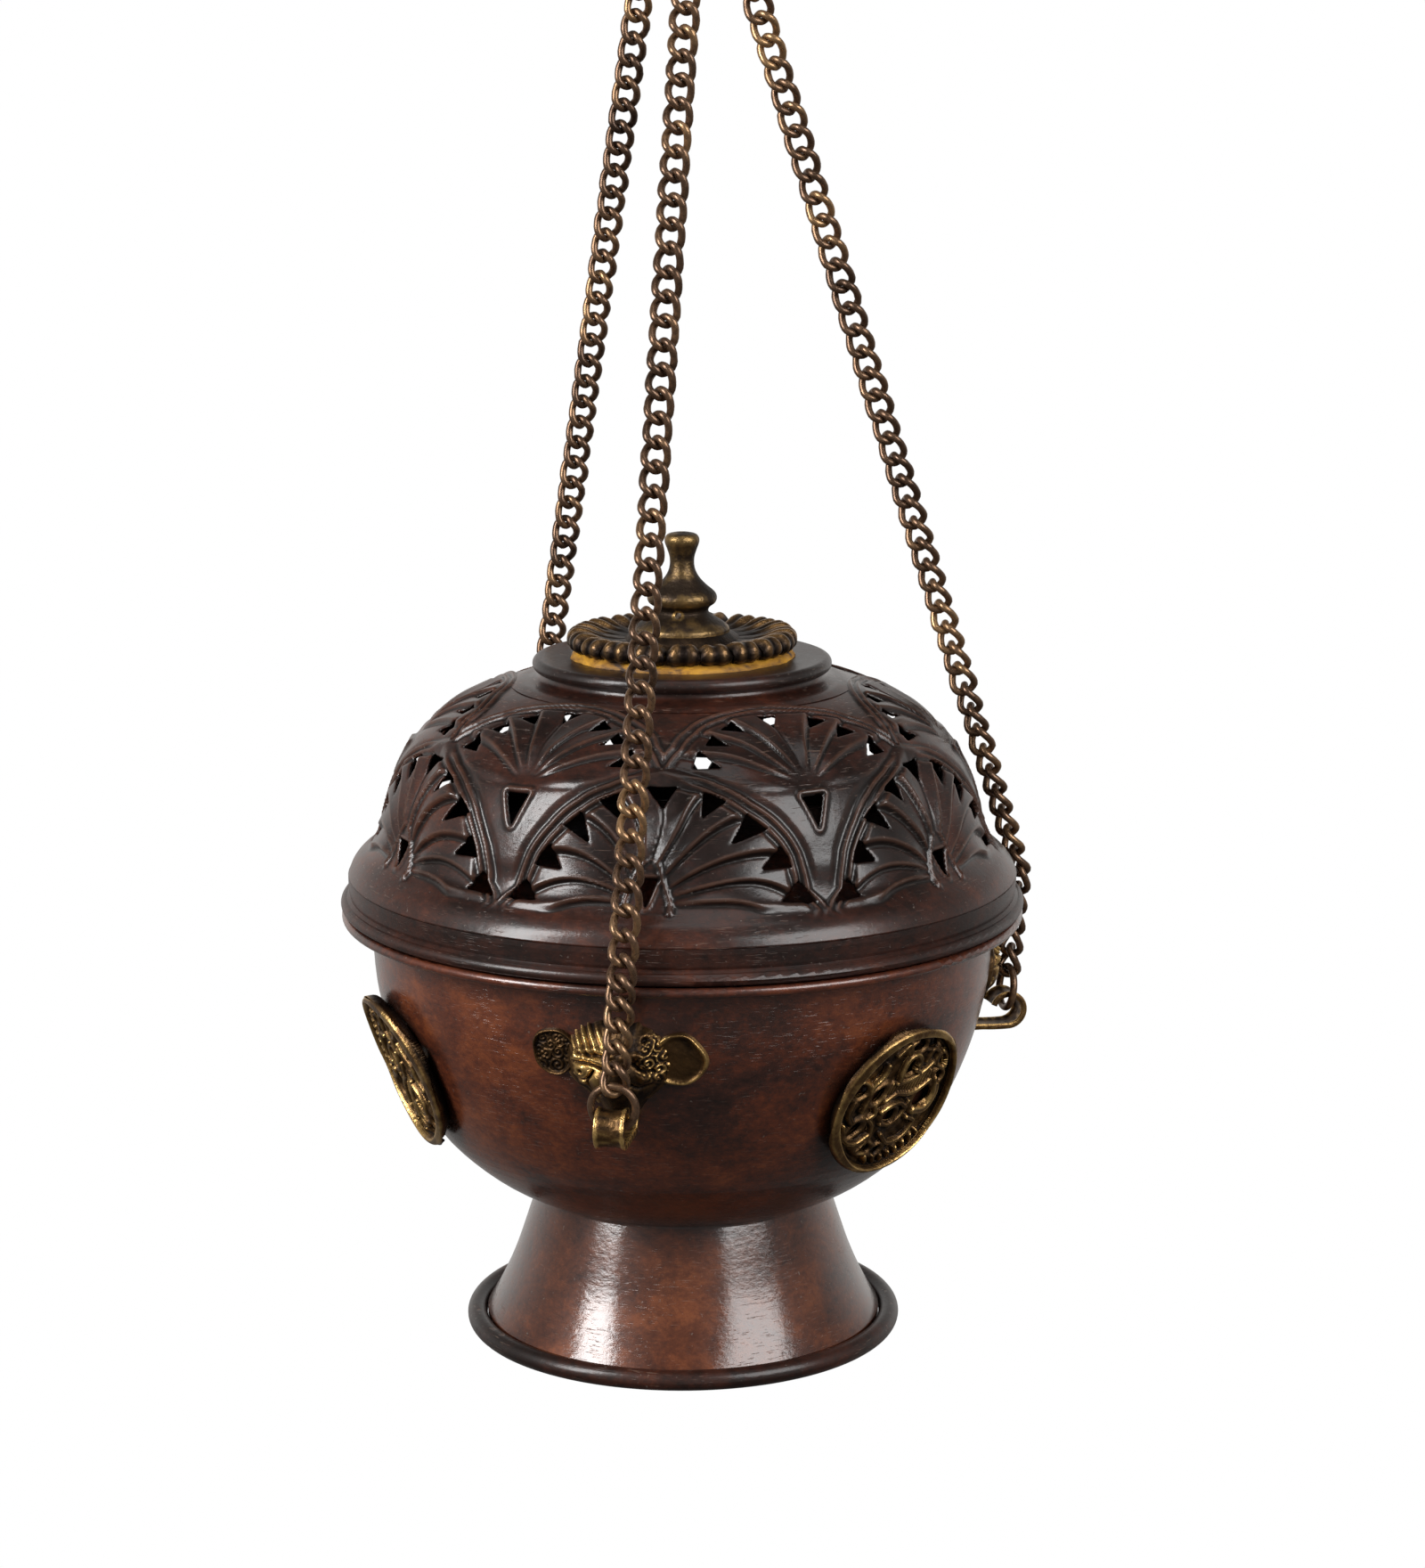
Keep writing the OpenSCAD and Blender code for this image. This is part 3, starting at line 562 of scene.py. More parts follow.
def face_relief(x, z):
    """Brows, eyes, cheeks, snout and hair of the beast, in mm over the plain head."""
    high = np.zeros(np.shape(x))
    mane = np.exp(-(((x + 7.6) / 4.2) ** 2 + ((z - 5.4) / 4.0) ** 2) ** 2)
    high += mane * (0.5 + 0.5 * np.cos(2 * math.pi * (x + z + 0.25 * (x - z)) / 2.5))
    hair = np.exp(-(((x - 9.2) / 4.0) ** 2 + ((z - 1.8) / 5.6) ** 2) ** 2)
    high += hair * (0.35 + 0.42 * curls(x, z, np.array([8.6, 1.8]), np.array([3.4, 5.4]), 26, 5))
    crown = np.exp(-(((x - 1.0) / 5.5) ** 2 + ((z - 9.2) / 2.6) ** 2) ** 2)
    high += crown * 0.35 * np.cos(2 * math.pi * x / 2.3)
    for line, width, rise in FACE_LINES:
        high += rise * hump(line_gap(x, z, line), width)
    for middle, size, rise in FACE_LUMPS:
        high += lump(x, z, middle, size, rise)
    return high


def stand_on_bowl(x, z, out, azimuth):
    """Local places, measured across, up and outwards, moved onto the bowl at an azimuth."""
    radius = np.hypot(out, x)
    radius = np.maximum(radius, bowl_radius(z) - 0.6)
    turn = math.radians(azimuth) + np.arctan2(x, out)
    return np.stack([radius * np.sin(turn), -radius * np.cos(turn), RIM + z], -1)


def build_mask(name, material):
    azimuth = LUG_AZIMUTH[name]
    around, rings = 260, 100
    theta, tilt = np.meshgrid(np.arange(around) * 2 * math.pi / around,
                              np.linspace(0.01, 0.5 * math.pi, rings))
    degrees = np.degrees(theta)
    outline = (11.6 + 1.7 * hump(degrees - 172, 34) - 0.9 * hump(degrees - 226, 18)
               + 3.6 * hump(degrees - 270, 20) - 0.9 * hump(degrees - 314, 18))
    x = outline * np.sin(tilt) * np.cos(theta)
    z = outline * np.sin(tilt) * np.sin(theta)
    rise = face_relief(x, z)
    gilt = hump(x + 6.5, 6) * ease(z, -9, -2) * ease(8.6 - z, 0, 3)
    wear = [0.26 + 1.1 * curvature(face_relief, x, z).ravel()
            + 0.36 * gilt.ravel() - 0.2 * ease(tilt, 1.2, 1.5).ravel()]
    grow = 1 + rise * np.sin(tilt) / 12
    full = np.cos(tilt) ** 0.86
    out = MASK_AT[0] + HEAD_DEPTH * full + rise * np.cos(tilt)
    points = [stand_on_bowl(x * grow, MASK_AT[1] + z * grow, out, azimuth).reshape(-1, 3)]
    faces = [tuple(reversed(f)) for f in grid_faces(rings, around, False, True)]
    faces.append(tuple(range(around)))
    for side, (cx, cz, half_wide, half_high) in EARS.items():
        share, theta = np.meshgrid(np.linspace(0.01, 1, EAR_RINGS),
                                   np.arange(EAR_SIDES) * 2 * math.pi / EAR_SIDES, indexing="ij")
        uneven = 1 + 0.035 * np.cos(3 * theta + side) + 0.02 * np.cos(5 * theta)
        x = cx + half_wide * share * np.cos(theta) * uneven
        z = cz + half_high * share * np.sin(theta) * uneven
        rim = hump(share - 0.9, 0.07 if side < 0 else 0.1)
        rough = 0.2 * curls(x, z, np.array([cx, cz]), np.array([4.0, 4.0]), 18, 9) if side < 0 else 0
        h = 0.75 + 0.8 * rim + rough * ease(0.85 - share, 0, 0.15) - 2.2 * ease(share, 0.93, 1)
        start = sum(len(p) for p in points)
        points.append(stand_on_bowl(x, MASK_AT[1] + z, np.sqrt(np.maximum(
            (bowl_radius(MASK_AT[1] + z) + h) ** 2 - x ** 2, 1)), azimuth).reshape(-1, 3))
        wear.append((0.2 + 0.5 * rough * (1 - rim) + 0.25 * rim if side < 0 else 0.3 + 0.4 * rim).ravel())
        faces += [tuple(reversed(f)) for f in grid_faces(EAR_RINGS, EAR_SIDES, False, True, start)]
        faces.append(tuple(range(start, start + EAR_SIDES)))
    add_mesh("beast_mask_" + name, np.concatenate(points), faces, "bowl", material,
             ["mask_" + name], {"wear": np.concatenate(wear)})


# a pin turned from its domed inside head to its flush outside end: radius and depth
PIN_LINE = np.array([(0.02, -2.6), (1.1, -2.45), (1.75, -2.0), (1.9, -1.6), (1.0, -1.55),
                     (1.0, 0.4), (0.02, 0.5)])
PIN_SPREAD = 12.4
PIN_SIDES = 28


def build_pins(material):
    """Pins that hold the masks' ears, peened flush outside and domed inside."""
    t = np.arange(PIN_SIDES) * 2 * math.pi / PIN_SIDES
    across, up = np.cos(t) * PIN_LINE[:, :1], np.sin(t) * PIN_LINE[:, :1]
    out = bowl_radius(MASK_AT[1]) + PIN_LINE[:, 1:] + 0 * t
    points, faces = [], []
    for name in CHAINS:
        for side in (-PIN_SPREAD, PIN_SPREAD):
            turn = math.radians(LUG_AZIMUTH[name] + side)
            faces += grid_faces(len(PIN_LINE), PIN_SIDES, False, True, len(points) * out.size)
            points.append(stand_out(across, out, MASK_AT[1] + up, turn).reshape(-1, 3))
    points = np.concatenate(points)
    add_mesh("mask_pins", points, faces, "bowl", material, ["mask_rivets"],
             {"wear": np.full(len(points), 0.4)})


STRAP_HALF = 3.6
STRAP_TURN = 4.0
# the strap's section: places across as a share of its half width, and how far each stands out
STRAP_SIDE = np.array([-1, -0.95, -0.82, -0.66, -0.3, 0.3, 0.66, 0.82, 0.95, 1,
                       1, 0.95, 0.82, 0.66, 0.3, -0.3, -0.66, -0.82, -0.95, -1])
STRAP_HIGH = np.array([0.3, 0.62, 0.6, 0.26, 0.1, 0.1, 0.26, 0.6, 0.62, 0.3,
                       -0.5, -0.86, -0.84, -0.42, -0.26, -0.26, -0.42, -0.84, -0.86, -0.5])


def build_strap(name, material):
    """Strap down the wall, bent out and curled up into the lug's eye."""
    wall_z = np.linspace(-22, -34, 10)
    wall = np.stack([bowl_radius(wall_z) + 0.5, wall_z], 1)
    foot = [(bowl_radius(-35.6) + 1.0, -35.6), (bowl_radius(-36.6) + 2.4, -36.8), (78.2, -37.6)]
    a = np.radians(np.linspace(-90, 160, 40))
    curl = np.stack([EYE_AT[0] + STRAP_TURN * np.cos(a), EYE_AT[1] + STRAP_TURN * np.sin(a)], 1)
    length, where = smooth_curve(np.concatenate([wall, foot, [(81.5, -37.8)], curl]))
    line = where(np.linspace(0, length, 110))
    along = unit(np.gradient(line, axis=0))
    normal = np.stack([along[:, 1], -along[:, 0]], 1)
    normal *= -np.sign(normal[0, 0])
    out = line[:, :1] - normal[:, :1] * STRAP_HIGH
    level = line[:, 1:] - normal[:, 1:] * STRAP_HIGH
    points = stand_out(STRAP_SIDE * STRAP_HALF + 0 * out, out, level, math.radians(LUG_AZIMUTH[name]))
    rows, sides = out.shape
    faces = grid_faces(rows, sides, False, True)
    faces += [tuple(range(sides))[::-1], tuple(range((rows - 1) * sides, rows * sides))]
    patch = 0.2 * np.sin(1.1 * np.arange(rows))[:, None] * np.cos(2.6 * STRAP_SIDE + 1)
    wear = (0.4 + 0.5 * ease(np.abs(STRAP_HIGH + 0.1), 0.3, 0.7) + patch).ravel()
    add_mesh("curled_strap_" + name, points.reshape(-1, 3), faces, "bowl", material,
             ["strap_eye_" + name], {"wear": wear})


MEDAL_AT = (71.15, -35.3)
MEDAL_TILT = math.radians(21)
MEDAL_RADIUS = 18.0
MEDAL_GROW = 1.13
MEDAL_SPIN = {"right": 0.0, "rear": 2.1, "left": 4.0}
MEDAL_CELLS = 232
MEDAL_PLATE = 1.6
# openings between the scrolls: place across and up, half width, half height, turn in radians
MEDAL_HOLES = [
    (1.6, 7.8, 1.5, 1.9, 0.3), (8.6, -1.2, 2.7, 2.2, 0.5), (-0.6, -4.2, 1.6, 1.5, 0.6),
    (-6.0, 2.2, 1.9, 1.3, 0.8), (-10.1, -5.5, 1.9, 1.0, 0.7), (-11.4, 4.2, 1.7, 1.5, 0.2),
    (2.6, 12.6, 1.9, 1.2, 0.2), (7.0, 12.4, 1.6, 1.2, -0.4), (12.6, 6.8, 1.6, 1.1, -0.8),
    (12.4, 2.6, 1.3, 1.4, 0.0), (-5.4, -11.2, 1.8, 1.0, -0.3), (-1.6, -12.6, 1.2, 0.8, 0.2)
]
# scrolls: middle line, half width, rise
MEDAL_RIDGES = [
    ([(-0.9, 4.9), (-0.9, 7.6), (0.3, 10.2), (2.4, 10.6), (3.9, 8.8), (3.2, 6.8), (4.6, 6.0)],
     0.8, 2.0),
    ([(-1.4, 4.2), (2.0, 4.4), (5.6, 5.4), (8.4, 7.2)], 0.75, 1.9),
    ([(6.4, 8.0), (7.6, 10.6), (9.8, 9.6), (9.2, 6.8)], 0.65, 1.6),
    ([(-5.8, 9.6), (-6.4, 7.0), (-8.4, 5.0), (-8.9, 1.6), (-9.6, -1.0)], 0.75, 1.9),
    ([(-3.6, 0.4), (-1.0, 1.6), (2.6, 0.9), (5.4, 1.2), (9.0, 2.9)], 0.8, 2.0),
    ([(11.6, 2.4), (12.4, -1.6), (10.4, -4.6), (6.6, -4.4)], 1.5, 2.1),
    ([(-3.4, -2.6), (-1.2, -1.6), (1.6, -1.4), (3.6, -2.8)], 0.75, 1.7),
    ([(-2.8, -5.8), (0.4, -6.4), (3.0, -4.6), (4.4, -1.6)], 0.65, 1.6),
    ([(-1.6, -8.6), (1.2, -11.4), (6.0, -10.6), (8.0, -7.4), (5.4, -5.9)], 0.75, 1.7),
    ([(-12.4, 1.6), (-12.8, -1.6), (-11.6, -3.4)], 1.0, 1.7),
    ([(-13.6, -4.0), (-12.2, -8.0), (-8.6, -9.4), (-5.6, -8.0)], 0.7, 1.7),
    ([(-7.4, -3.4), (-5.4, -5.4), (-5.2, -8.6), (-7.6, -11.6)], 0.65, 1.6),
    ([(-6.0, -0.6), (-5.4, -2.4), (-7.2, -3.6)], 0.7, 1.6),
    ([(13.2, 4.6), (14.2, 7.0), (11.4, 9.4)], 0.6, 1.6),
    ([(-3.6, 11.4), (-0.6, 13.4), (0.2, 11.6)], 0.6, 1.5)
]


def hole_gap(u, v, holes):
    best = np.full(np.shape(u), 1e9)
    for cu, cv, half_wide, half_high, turn in holes:
        a = (u - cu) * math.cos(turn) + (v - cv) * math.sin(turn)
        b = (v - cv) * math.cos(turn) - (u - cu) * math.sin(turn)
        wobble = 1 + 0.08 * np.cos(3 * np.arctan2(b, a) + cu)
        beyond = np.hypot(a / half_wide, b / half_high) / wobble - 1
        best = np.minimum(best, beyond * min(half_wide, half_high))
    return best


def medal_relief(u, v):
    """Plain raised border round deep openwork scrolls, in mm over the back plate."""
    reach, angle = np.hypot(u, v), np.arctan2(v, u)
    border = 2.5 + 0.9 * np.cos(angle - 2.5) + 0.25 * np.cos(5 * angle)
    high = 0.25 + 0.18 * np.cos(1.9 * u + 1) * np.cos(2.1 * v)
    gap = hole_gap(u, v, MEDAL_HOLES)
    high = np.maximum(high, 1.25 * hump(gap - 0.65, 0.7))
    for line, width, rise in MEDAL_RIDGES:
        gap = line_gap(u, v, line)
        high = np.maximum(high, rise * ease(width * 1.25 - gap, 0, width) - 0.25 * hump(gap, width * 0.3))
    hatch = ease(2.5 - line_gap(u, v, [(-1.6, 2.8), (2.6, 2.6), (7.6, 4.0)]), 0, 0.8)
    high = np.maximum(high, hatch * (1.0 + 0.35 * np.cos(2 * math.pi * (u - 0.3 * v) / 0.95)))
    scales = ease(1.7 - line_gap(u, v, [(-4.4, -14.4), (0.6, -15.2), (5.6, -14.0), (9.8, -11.4)]), 0, 0.6)
    high = np.maximum(high, scales * (1.0 + 0.75 * np.cos(2 * math.pi * (u + 0.35 * v) / 2.3)))
    inside = MEDAL_RADIUS - border
    high = high * ease(inside + 0.6 - reach, 0, 0.9) - 0.5 * hump(reach - inside + 0.35, 0.4)
    frame_high = 2.5 * ease(reach, inside, inside + 0.9) - 0.25 * ease(reach - inside, 1.0, border)
    high = np.maximum(high, frame_high)
    return high - 1.3 * ease(reach, MEDAL_RADIUS - 0.9, MEDAL_RADIUS) ** 2


def build_medallion(name, material):
    spin = MEDAL_SPIN[name]
    edge = MEDAL_RADIUS + 0.4
    u, v = np.meshgrid(*[np.linspace(-edge, edge, MEDAL_CELLS)] * 2)
    rough_edge = MEDAL_RADIUS * (1 + 0.012 * np.cos(3 * np.arctan2(v, u) + spin)
                                 + 0.006 * np.cos(7 * np.arctan2(v, u))) - 0.2 - np.hypot(u, v)
    flat_points, faces = clip_grid(u, v, np.minimum(rough_edge, hole_gap(u, v, MEDAL_HOLES)))
    u, v = flat_points.T
    high = medal_relief(u, v)
    wear = 0.42 + 0.55 * curvature(medal_relief, u, v) + 0.1 * (high - 1.2)
    u, v = u * math.cos(spin) - v * math.sin(spin), u * math.sin(spin) + v * math.cos(spin)
    u, v = u * MEDAL_GROW, v * MEDAL_GROW
    out = MEDAL_AT[0] + v * math.sin(MEDAL_TILT) + (high + 0.9) * math.cos(MEDAL_TILT) - 0.004 * u * u
    level = MEDAL_AT[1] + v * math.cos(MEDAL_TILT) - (high + 0.9) * math.sin(MEDAL_TILT)
    points = stand_out(u, out, level, math.radians(MEDAL_AZIMUTH[name]))
    medal = add_mesh("scroll_medallion_" + name, points, faces, "bowl", material,
                     ["medallion_" + name], {"wear": wear})
    thicken(medal, MEDAL_PLATE, -1)


def turned(line, steps):
    """Points of a profile of radius and height, turned round the upright axis."""
    t = np.arange(steps) * 2 * math.pi / steps
    radius, level = np.asarray(line)[:, :1], np.asarray(line)[:, 1:]
    return np.stack([radius * np.sin(t), -radius * np.cos(t), RIM + level + 0 * t], -1)


def lathe(name, line, rows, columns, material, replaces=(), layers=None, uneven=1.0):
    """A piece turned from a smooth profile, its radius varied round the axis by uneven."""
    length, where = smooth_curve(line)
    points = turned(where(np.linspace(0, length, rows)), columns)
    points[..., :2] *= uneven
    add_mesh(name, points.reshape(-1, 3), grid_faces(rows, columns, False, True), "lid", material,
             replaces, layers)


def build_neck(material):
    """Hollow curve that joins the dome to the underside of the collar."""
    line = [(35.4, 58.4), (34.7, 57.5), (35.0, 56.5), (36.6, 55.75), (39.6, 55.25), (42, 54.4)]
    plain = np.zeros(20 * 160)
    lathe("lid_neck", line, 20, 160, material, layers={"proud": plain, "height": plain})


def build_bed(material):
    """Filler squeezed out unevenly under the leaves."""
    line = [(27.2, 60.7), (27.1, 61.3), (26.2, 62.3), (24.6, 63.2), (20, 63.5), (9, 63.5)]
    t = np.arange(240) * 2 * math.pi / 240
    uneven = 1 + 0.012 * np.sin(5 * t + 1) + 0.008 * np.sin(13 * t) + 0.004 * np.sin(37 * t + 2)
    lathe("filler_bed", line, 40, 240, material, ["rosette_bed"], uneven=uneven[:, None])


BED_TOP = 63.35
PETALS = 20
PETAL_HALF_ANGLE = 8.2
LEAF_SHEET = 0.7
# a leaf's ridge and the plain hub, as radius and height over the bed
PETAL_LINE = [(11.5, 1.3), (16, 1.6), (20, 2.3), (24, 3.6), (26.2, 3.6), (27.5, 2.2), (27.3, 0.5),
              (26.2, -0.5)]
HUB_LINE = [(3.6, 3.4), (9, 3.4), (11.6, 3.2), (13.2, 2.2), (14.4, 1.0)]


def build_rosette(material):
    """Collar of leaves whose tips curl over, on a plain hub."""
    length, where = smooth_curve(PETAL_LINE)
    line = where(np.linspace(0, length, 40))
    chance = np.random.RandomState(3)
    w = np.linspace(-1, 1, 21)
    points, faces, wear = [], [], []
    for k in range(PETALS):
        middle = math.radians(360 * k / PETALS + chance.normal(0, 0.7))
        grow = chance.normal(1, 0.03)
        share = np.linspace(0, 1, len(line))[:, None]
        half = line[:, :1] * math.tan(math.radians(PETAL_HALF_ANGLE)) * (1 - 0.1 * ease(share, 0.8, 1))
        ribs = -0.3 * np.cos(2 * math.pi * w) * ease(share, 0.25, 0.6)
        sag = (1.05 * w ** 4 + 0.35 * w ** 2) * ease(share, 0.1, 0.6)
        radius = (line[:, :1] * (1 - 0.02 * (1 - grow)) - 0.5 * sag * ease(share, 0.6, 0.9)
                  + ribs * ease(share, 0.7, 1))
        level = BED_TOP + line[:, 1:] * grow + (ribs - sag) * (1 - ease(share, 0.75, 1)) + 0.1
        leaf = stand_out(half * w, radius, level, middle)
        faces += grid_faces(len(line), len(w), start=k * radius.size)
        points.append(leaf.reshape(-1, 3))
        wear.append((0.3 + 1.2 * ribs + 0.35 * hump(share - 0.62, 0.16) - 0.35 * w ** 8).ravel())
    length, where = smooth_curve(HUB_LINE)
    hub = turned(where(np.linspace(0, length, 18)) + (0, BED_TOP), 96)
    faces += grid_faces(18, 96, False, True, PETALS * radius.size)
    points.append(hub.reshape(-1, 3))
    wear.append(np.full(len(points[-1]), 0.25))
    leaves = add_mesh("curled_leaves", np.concatenate(points), faces, "lid", material,
                      ["rosette"], {"wear": np.concatenate(wear)})
    thicken(leaves, LEAF_SHEET, 0)


# ---- materials
def new_material(name):
    mat = bpy.data.materials.new(name)
    mat.use_nodes = True
    tree = mat.node_tree
    tree.nodes.clear()
    out = tree.nodes.new("ShaderNodeOutputMaterial")
    shader = tree.nodes.new("ShaderNodeBsdfPrincipled")
    tree.links.new(shader.outputs[0], out.inputs[0])
    return mat, tree, shader


def put(tree, socket, value):
    """Sets a socket to a number or colour, or links it to another socket."""
    if isinstance(value, bpy.types.NodeSocket):
        tree.links.new(value, socket)
    elif isinstance(value, tuple) and len(value) == 3 and len(socket.default_value) == 4:
        socket.default_value = (*value, 1)
    else:
        socket.default_value = value


def place(tree, stretch=(1, 1, 1), turn=(0, 0, 0)):
    """The point on the object in metres, stretched for streaks."""
    where = tree.nodes.new("ShaderNodeTexCoord")
    shift = tree.nodes.new("ShaderNodeMapping")
    shift.inputs["Scale"].default_value = stretch
    shift.inputs["Rotation"].default_value = turn
    tree.links.new(where.outputs["Object"], shift.inputs["Vector"])
    return shift.outputs[0]


def noise(tree, where, scale, detail=4.0, rough=0.55, warp=0.0):
    node = tree.nodes.new("ShaderNodeTexNoise")
    tree.links.new(where, node.inputs["Vector"])
    node.inputs["Scale"].default_value = scale
    node.inputs["Detail"].default_value = detail
    node.inputs["Roughness"].default_value = rough
    node.inputs["Distortion"].default_value = warp
    return node.outputs["Fac"]


def calc(tree, how, a, b=0.5, clamp=False):
    node = tree.nodes.new("ShaderNodeMath")
    node.operation = how
    node.use_clamp = clamp
    put(tree, node.inputs[0], a)
    put(tree, node.inputs[1], b)
    return node.outputs[0]


def spread(tree, value, low, high, to_low=0.0, to_high=1.0):
    """Maps a range of numbers to another, held at its ends."""
    node = tree.nodes.new("ShaderNodeMapRange")
    put(tree, node.inputs["Value"], value)
    for key, number in (("From Min", low), ("From Max", high), ("To Min", to_low), ("To Max", to_high)):
        node.inputs[key].default_value = number
    return node.outputs[0]


def ramp(tree, value, stops):
    node = tree.nodes.new("ShaderNodeValToRGB")
    line = node.color_ramp.elements
    while len(line) < len(stops):
        line.new(0.5)
    for element, (at, colour) in zip(line, stops):
        element.position = at
        element.color = (*colour, 1)
    put(tree, node.inputs[0], value)
    return node.outputs["Color"]


def blend(tree, share, a, b):
    node = tree.nodes.new("ShaderNodeMix")
    node.data_type = "RGBA"
    put(tree, node.inputs["Factor"], share)
    put(tree, node.inputs["A"], a)
    put(tree, node.inputs["B"], b)
    return node.outputs["Result"]


def layer(tree, name):
    node = tree.nodes.new("ShaderNodeAttribute")
    node.attribute_name = name
    return node.outputs["Fac"]


def bump(tree, height, distance, strength=1.0, under=None):
    node = tree.nodes.new("ShaderNodeBump")
    put(tree, node.inputs["Height"], height)
    node.inputs["Distance"].default_value = distance
    node.inputs["Strength"].default_value = strength
    if under is not None:
        tree.links.new(under, node.inputs["Normal"])
    return node.outputs[0]


def scratches(tree, seed):
    """Fine short scratches in three directions, 0 to 1."""
    total = None
    for k in range(3):
        turn = (0.5 * k + seed, 0.9 * k + 0.3, 1.1 * k + 0.4 * seed)
        lines = noise(tree, place(tree, (1, 1, 14), turn), 260, 1.5, 0.5, 0.3)
        patch = noise(tree, place(tree, (1, 1, 1), turn), 60, 1.0)
        fine = calc(tree, "MULTIPLY", spread(tree, lines, 0.66, 0.72), spread(tree, patch, 0.5, 0.62))
        total = fine if total is None else calc(tree, "MAXIMUM", total, fine)
    return total


def patina_copper(name, stops, gloss=0.2, metallic=0.3, streak=1.5, seed=0.0, worked=False, coat=1.0,
                  shade_halos=()):
    """Browned and waxed copper: mottled colour with level streaks, fine pits and scratches.

    worked is for a sheet with "height" and "proud" layers; the halos are places ringed with painted shade.
    """
    mat, tree, shader = new_material(name)
    level = place(tree, (1, 1, streak), (0, 0, seed))
    blotch = noise(tree, level, 66, 9, 0.8, 0.3)
    grain = noise(tree, level, 520, 5, 0.65)
    broad = noise(tree, place(tree, (1, 1, 1.4), (0.4, seed, 0)), 16, 3, 0.5)
    mixed = calc(tree, "ADD", calc(tree, "MULTIPLY", blotch, 0.48),
                 calc(tree, "ADD", calc(tree, "MULTIPLY", grain, 0.16), calc(tree, "MULTIPLY", broad, 0.36)))
    shade = mixed
    if worked:
        hollow = spread(tree, layer(tree, "height"), 1.5, 0.1)
        shade = calc(tree, "ADD", mixed, calc(tree, "MULTIPLY", calc(tree, "SUBTRACT", hollow, 0.45), 0.08))
    colour = ramp(tree, shade, stops)
    if worked:
        # painted shade: the creases and grooves of the worked sheet darkened towards black
        crease_shade = spread(tree, layer(tree, "proud"), -0.16, -0.02, 0.1, 1.0)
        colour = blend(tree, crease_shade, (0.006, 0.003, 0.002), colour)
        rub = calc(tree, "MULTIPLY", spread(tree, layer(tree, "proud"), 0.05, 0.25), blotch)
        colour = blend(tree, calc(tree, "MULTIPLY", rub, 0.5), colour, (0.16, 0.07, 0.04))
    # painted shade: a dark ring on the bowl round each mask and medallion
    for spot, near, far in shade_halos:
        gap = tree.nodes.new("ShaderNodeVectorMath")
        gap.operation = "DISTANCE"
        put(tree, gap.inputs[0], place(tree))
        gap.inputs[1].default_value = spot
        rough_gap = calc(tree, "ADD", gap.outputs["Value"], calc(tree, "MULTIPLY", blotch, 0.008))
        colour = blend(tree, spread(tree, rough_gap, near, far, 0.7, 0.0), colour, (0.012, 0.006, 0.004))
    marks = scratches(tree, seed + 0.7)
    colour = blend(tree, calc(tree, "MULTIPLY", marks, 0.22), colour, (0.3, 0.19, 0.14))
    specks = spread(tree, noise(tree, place(tree), 900, 2, 0.5), 0.7, 0.76)
    colour = blend(tree, calc(tree, "MULTIPLY", specks, 0.35), colour, (0.25, 0.21, 0.18))
    put(tree, shader.inputs["Base Color"], colour)
    put(tree, shader.inputs["Roughness"], spread(tree, mixed, 0.35, 0.65, gloss + 0.2, gloss + 0.4))
    shader.inputs["Metallic"].default_value = metallic
    shader.inputs["IOR"].default_value = 1.36
    shader.inputs["Coat Weight"].default_value = coat
    shader.inputs["Coat Roughness"].default_value = gloss
    shader.inputs["Coat IOR"].default_value = 1.6
    dents = bump(tree, broad, 0.0012, 0.35)
    fine = bump(tree, calc(tree, "SUBTRACT", grain, calc(tree, "MULTIPLY", marks, 0.8)), 0.00012, 0.5, dents)
    put(tree, shader.inputs["Normal"], fine)
    put(tree, shader.inputs["Coat Normal"], fine)
    return mat


def old_brass(name, low, mid, high, wear=None, rough=(0.24, 0.5), metallic=0.85):
    """Cast brass: dark in the hollows, rubbed bright on whatever stands proud."""
    mat, tree, shader = new_material(name)
    blotch = noise(tree, place(tree), 130, 5, 0.6, 0.4)
    grain = noise(tree, place(tree), 900, 3, 0.6)
    if wear is None:
        sharp = tree.nodes.new("ShaderNodeNewGeometry").outputs["Pointiness"]
        proud = spread(tree, sharp, 0.44, 0.58)
    else:
        proud = layer(tree, wear)
    rubbed = calc(tree, "ADD", proud, calc(tree, "MULTIPLY", calc(tree, "SUBTRACT", blotch, 0.5), 1.2), True)
    colour = ramp(tree, rubbed, [(0.12, low), (0.5, mid), (0.92, high)])
    put(tree, shader.inputs["Base Color"], colour)
    put(tree, shader.inputs["Roughness"], spread(tree, rubbed, 0.1, 0.9, rough[1], rough[0]))
    shader.inputs["Metallic"].default_value = metallic
    put(tree, shader.inputs["Normal"], bump(tree, calc(tree, "ADD", grain, blotch), 0.0003, 0.7))
    return mat


def chain_metal(name):
    """Bronzed wire, rubbed to brown copper here and there along the run."""
    mat, tree, shader = new_material(name)
    patch = noise(tree, place(tree), 38, 3, 0.6, 0.3)
    grain = noise(tree, place(tree), 700, 4, 0.65)
    mixed = calc(tree, "ADD", calc(tree, "MULTIPLY", patch, 0.6), calc(tree, "MULTIPLY", grain, 0.25))
    mixed = calc(tree, "ADD", mixed, calc(tree, "MULTIPLY", layer(tree, "tint"), 0.15))
    colour = ramp(tree, mixed, [(0.32, (0.06, 0.036, 0.024)), (0.5, (0.17, 0.098, 0.058)),
                                (0.68, (0.42, 0.25, 0.12))])
    put(tree, shader.inputs["Base Color"], colour)
    put(tree, shader.inputs["Roughness"], spread(tree, grain, 0.3, 0.7, 0.2, 0.42))
    shader.inputs["Metallic"].default_value = 0.7
    put(tree, shader.inputs["Normal"], bump(tree, grain, 0.00012, 0.5))
    return mat


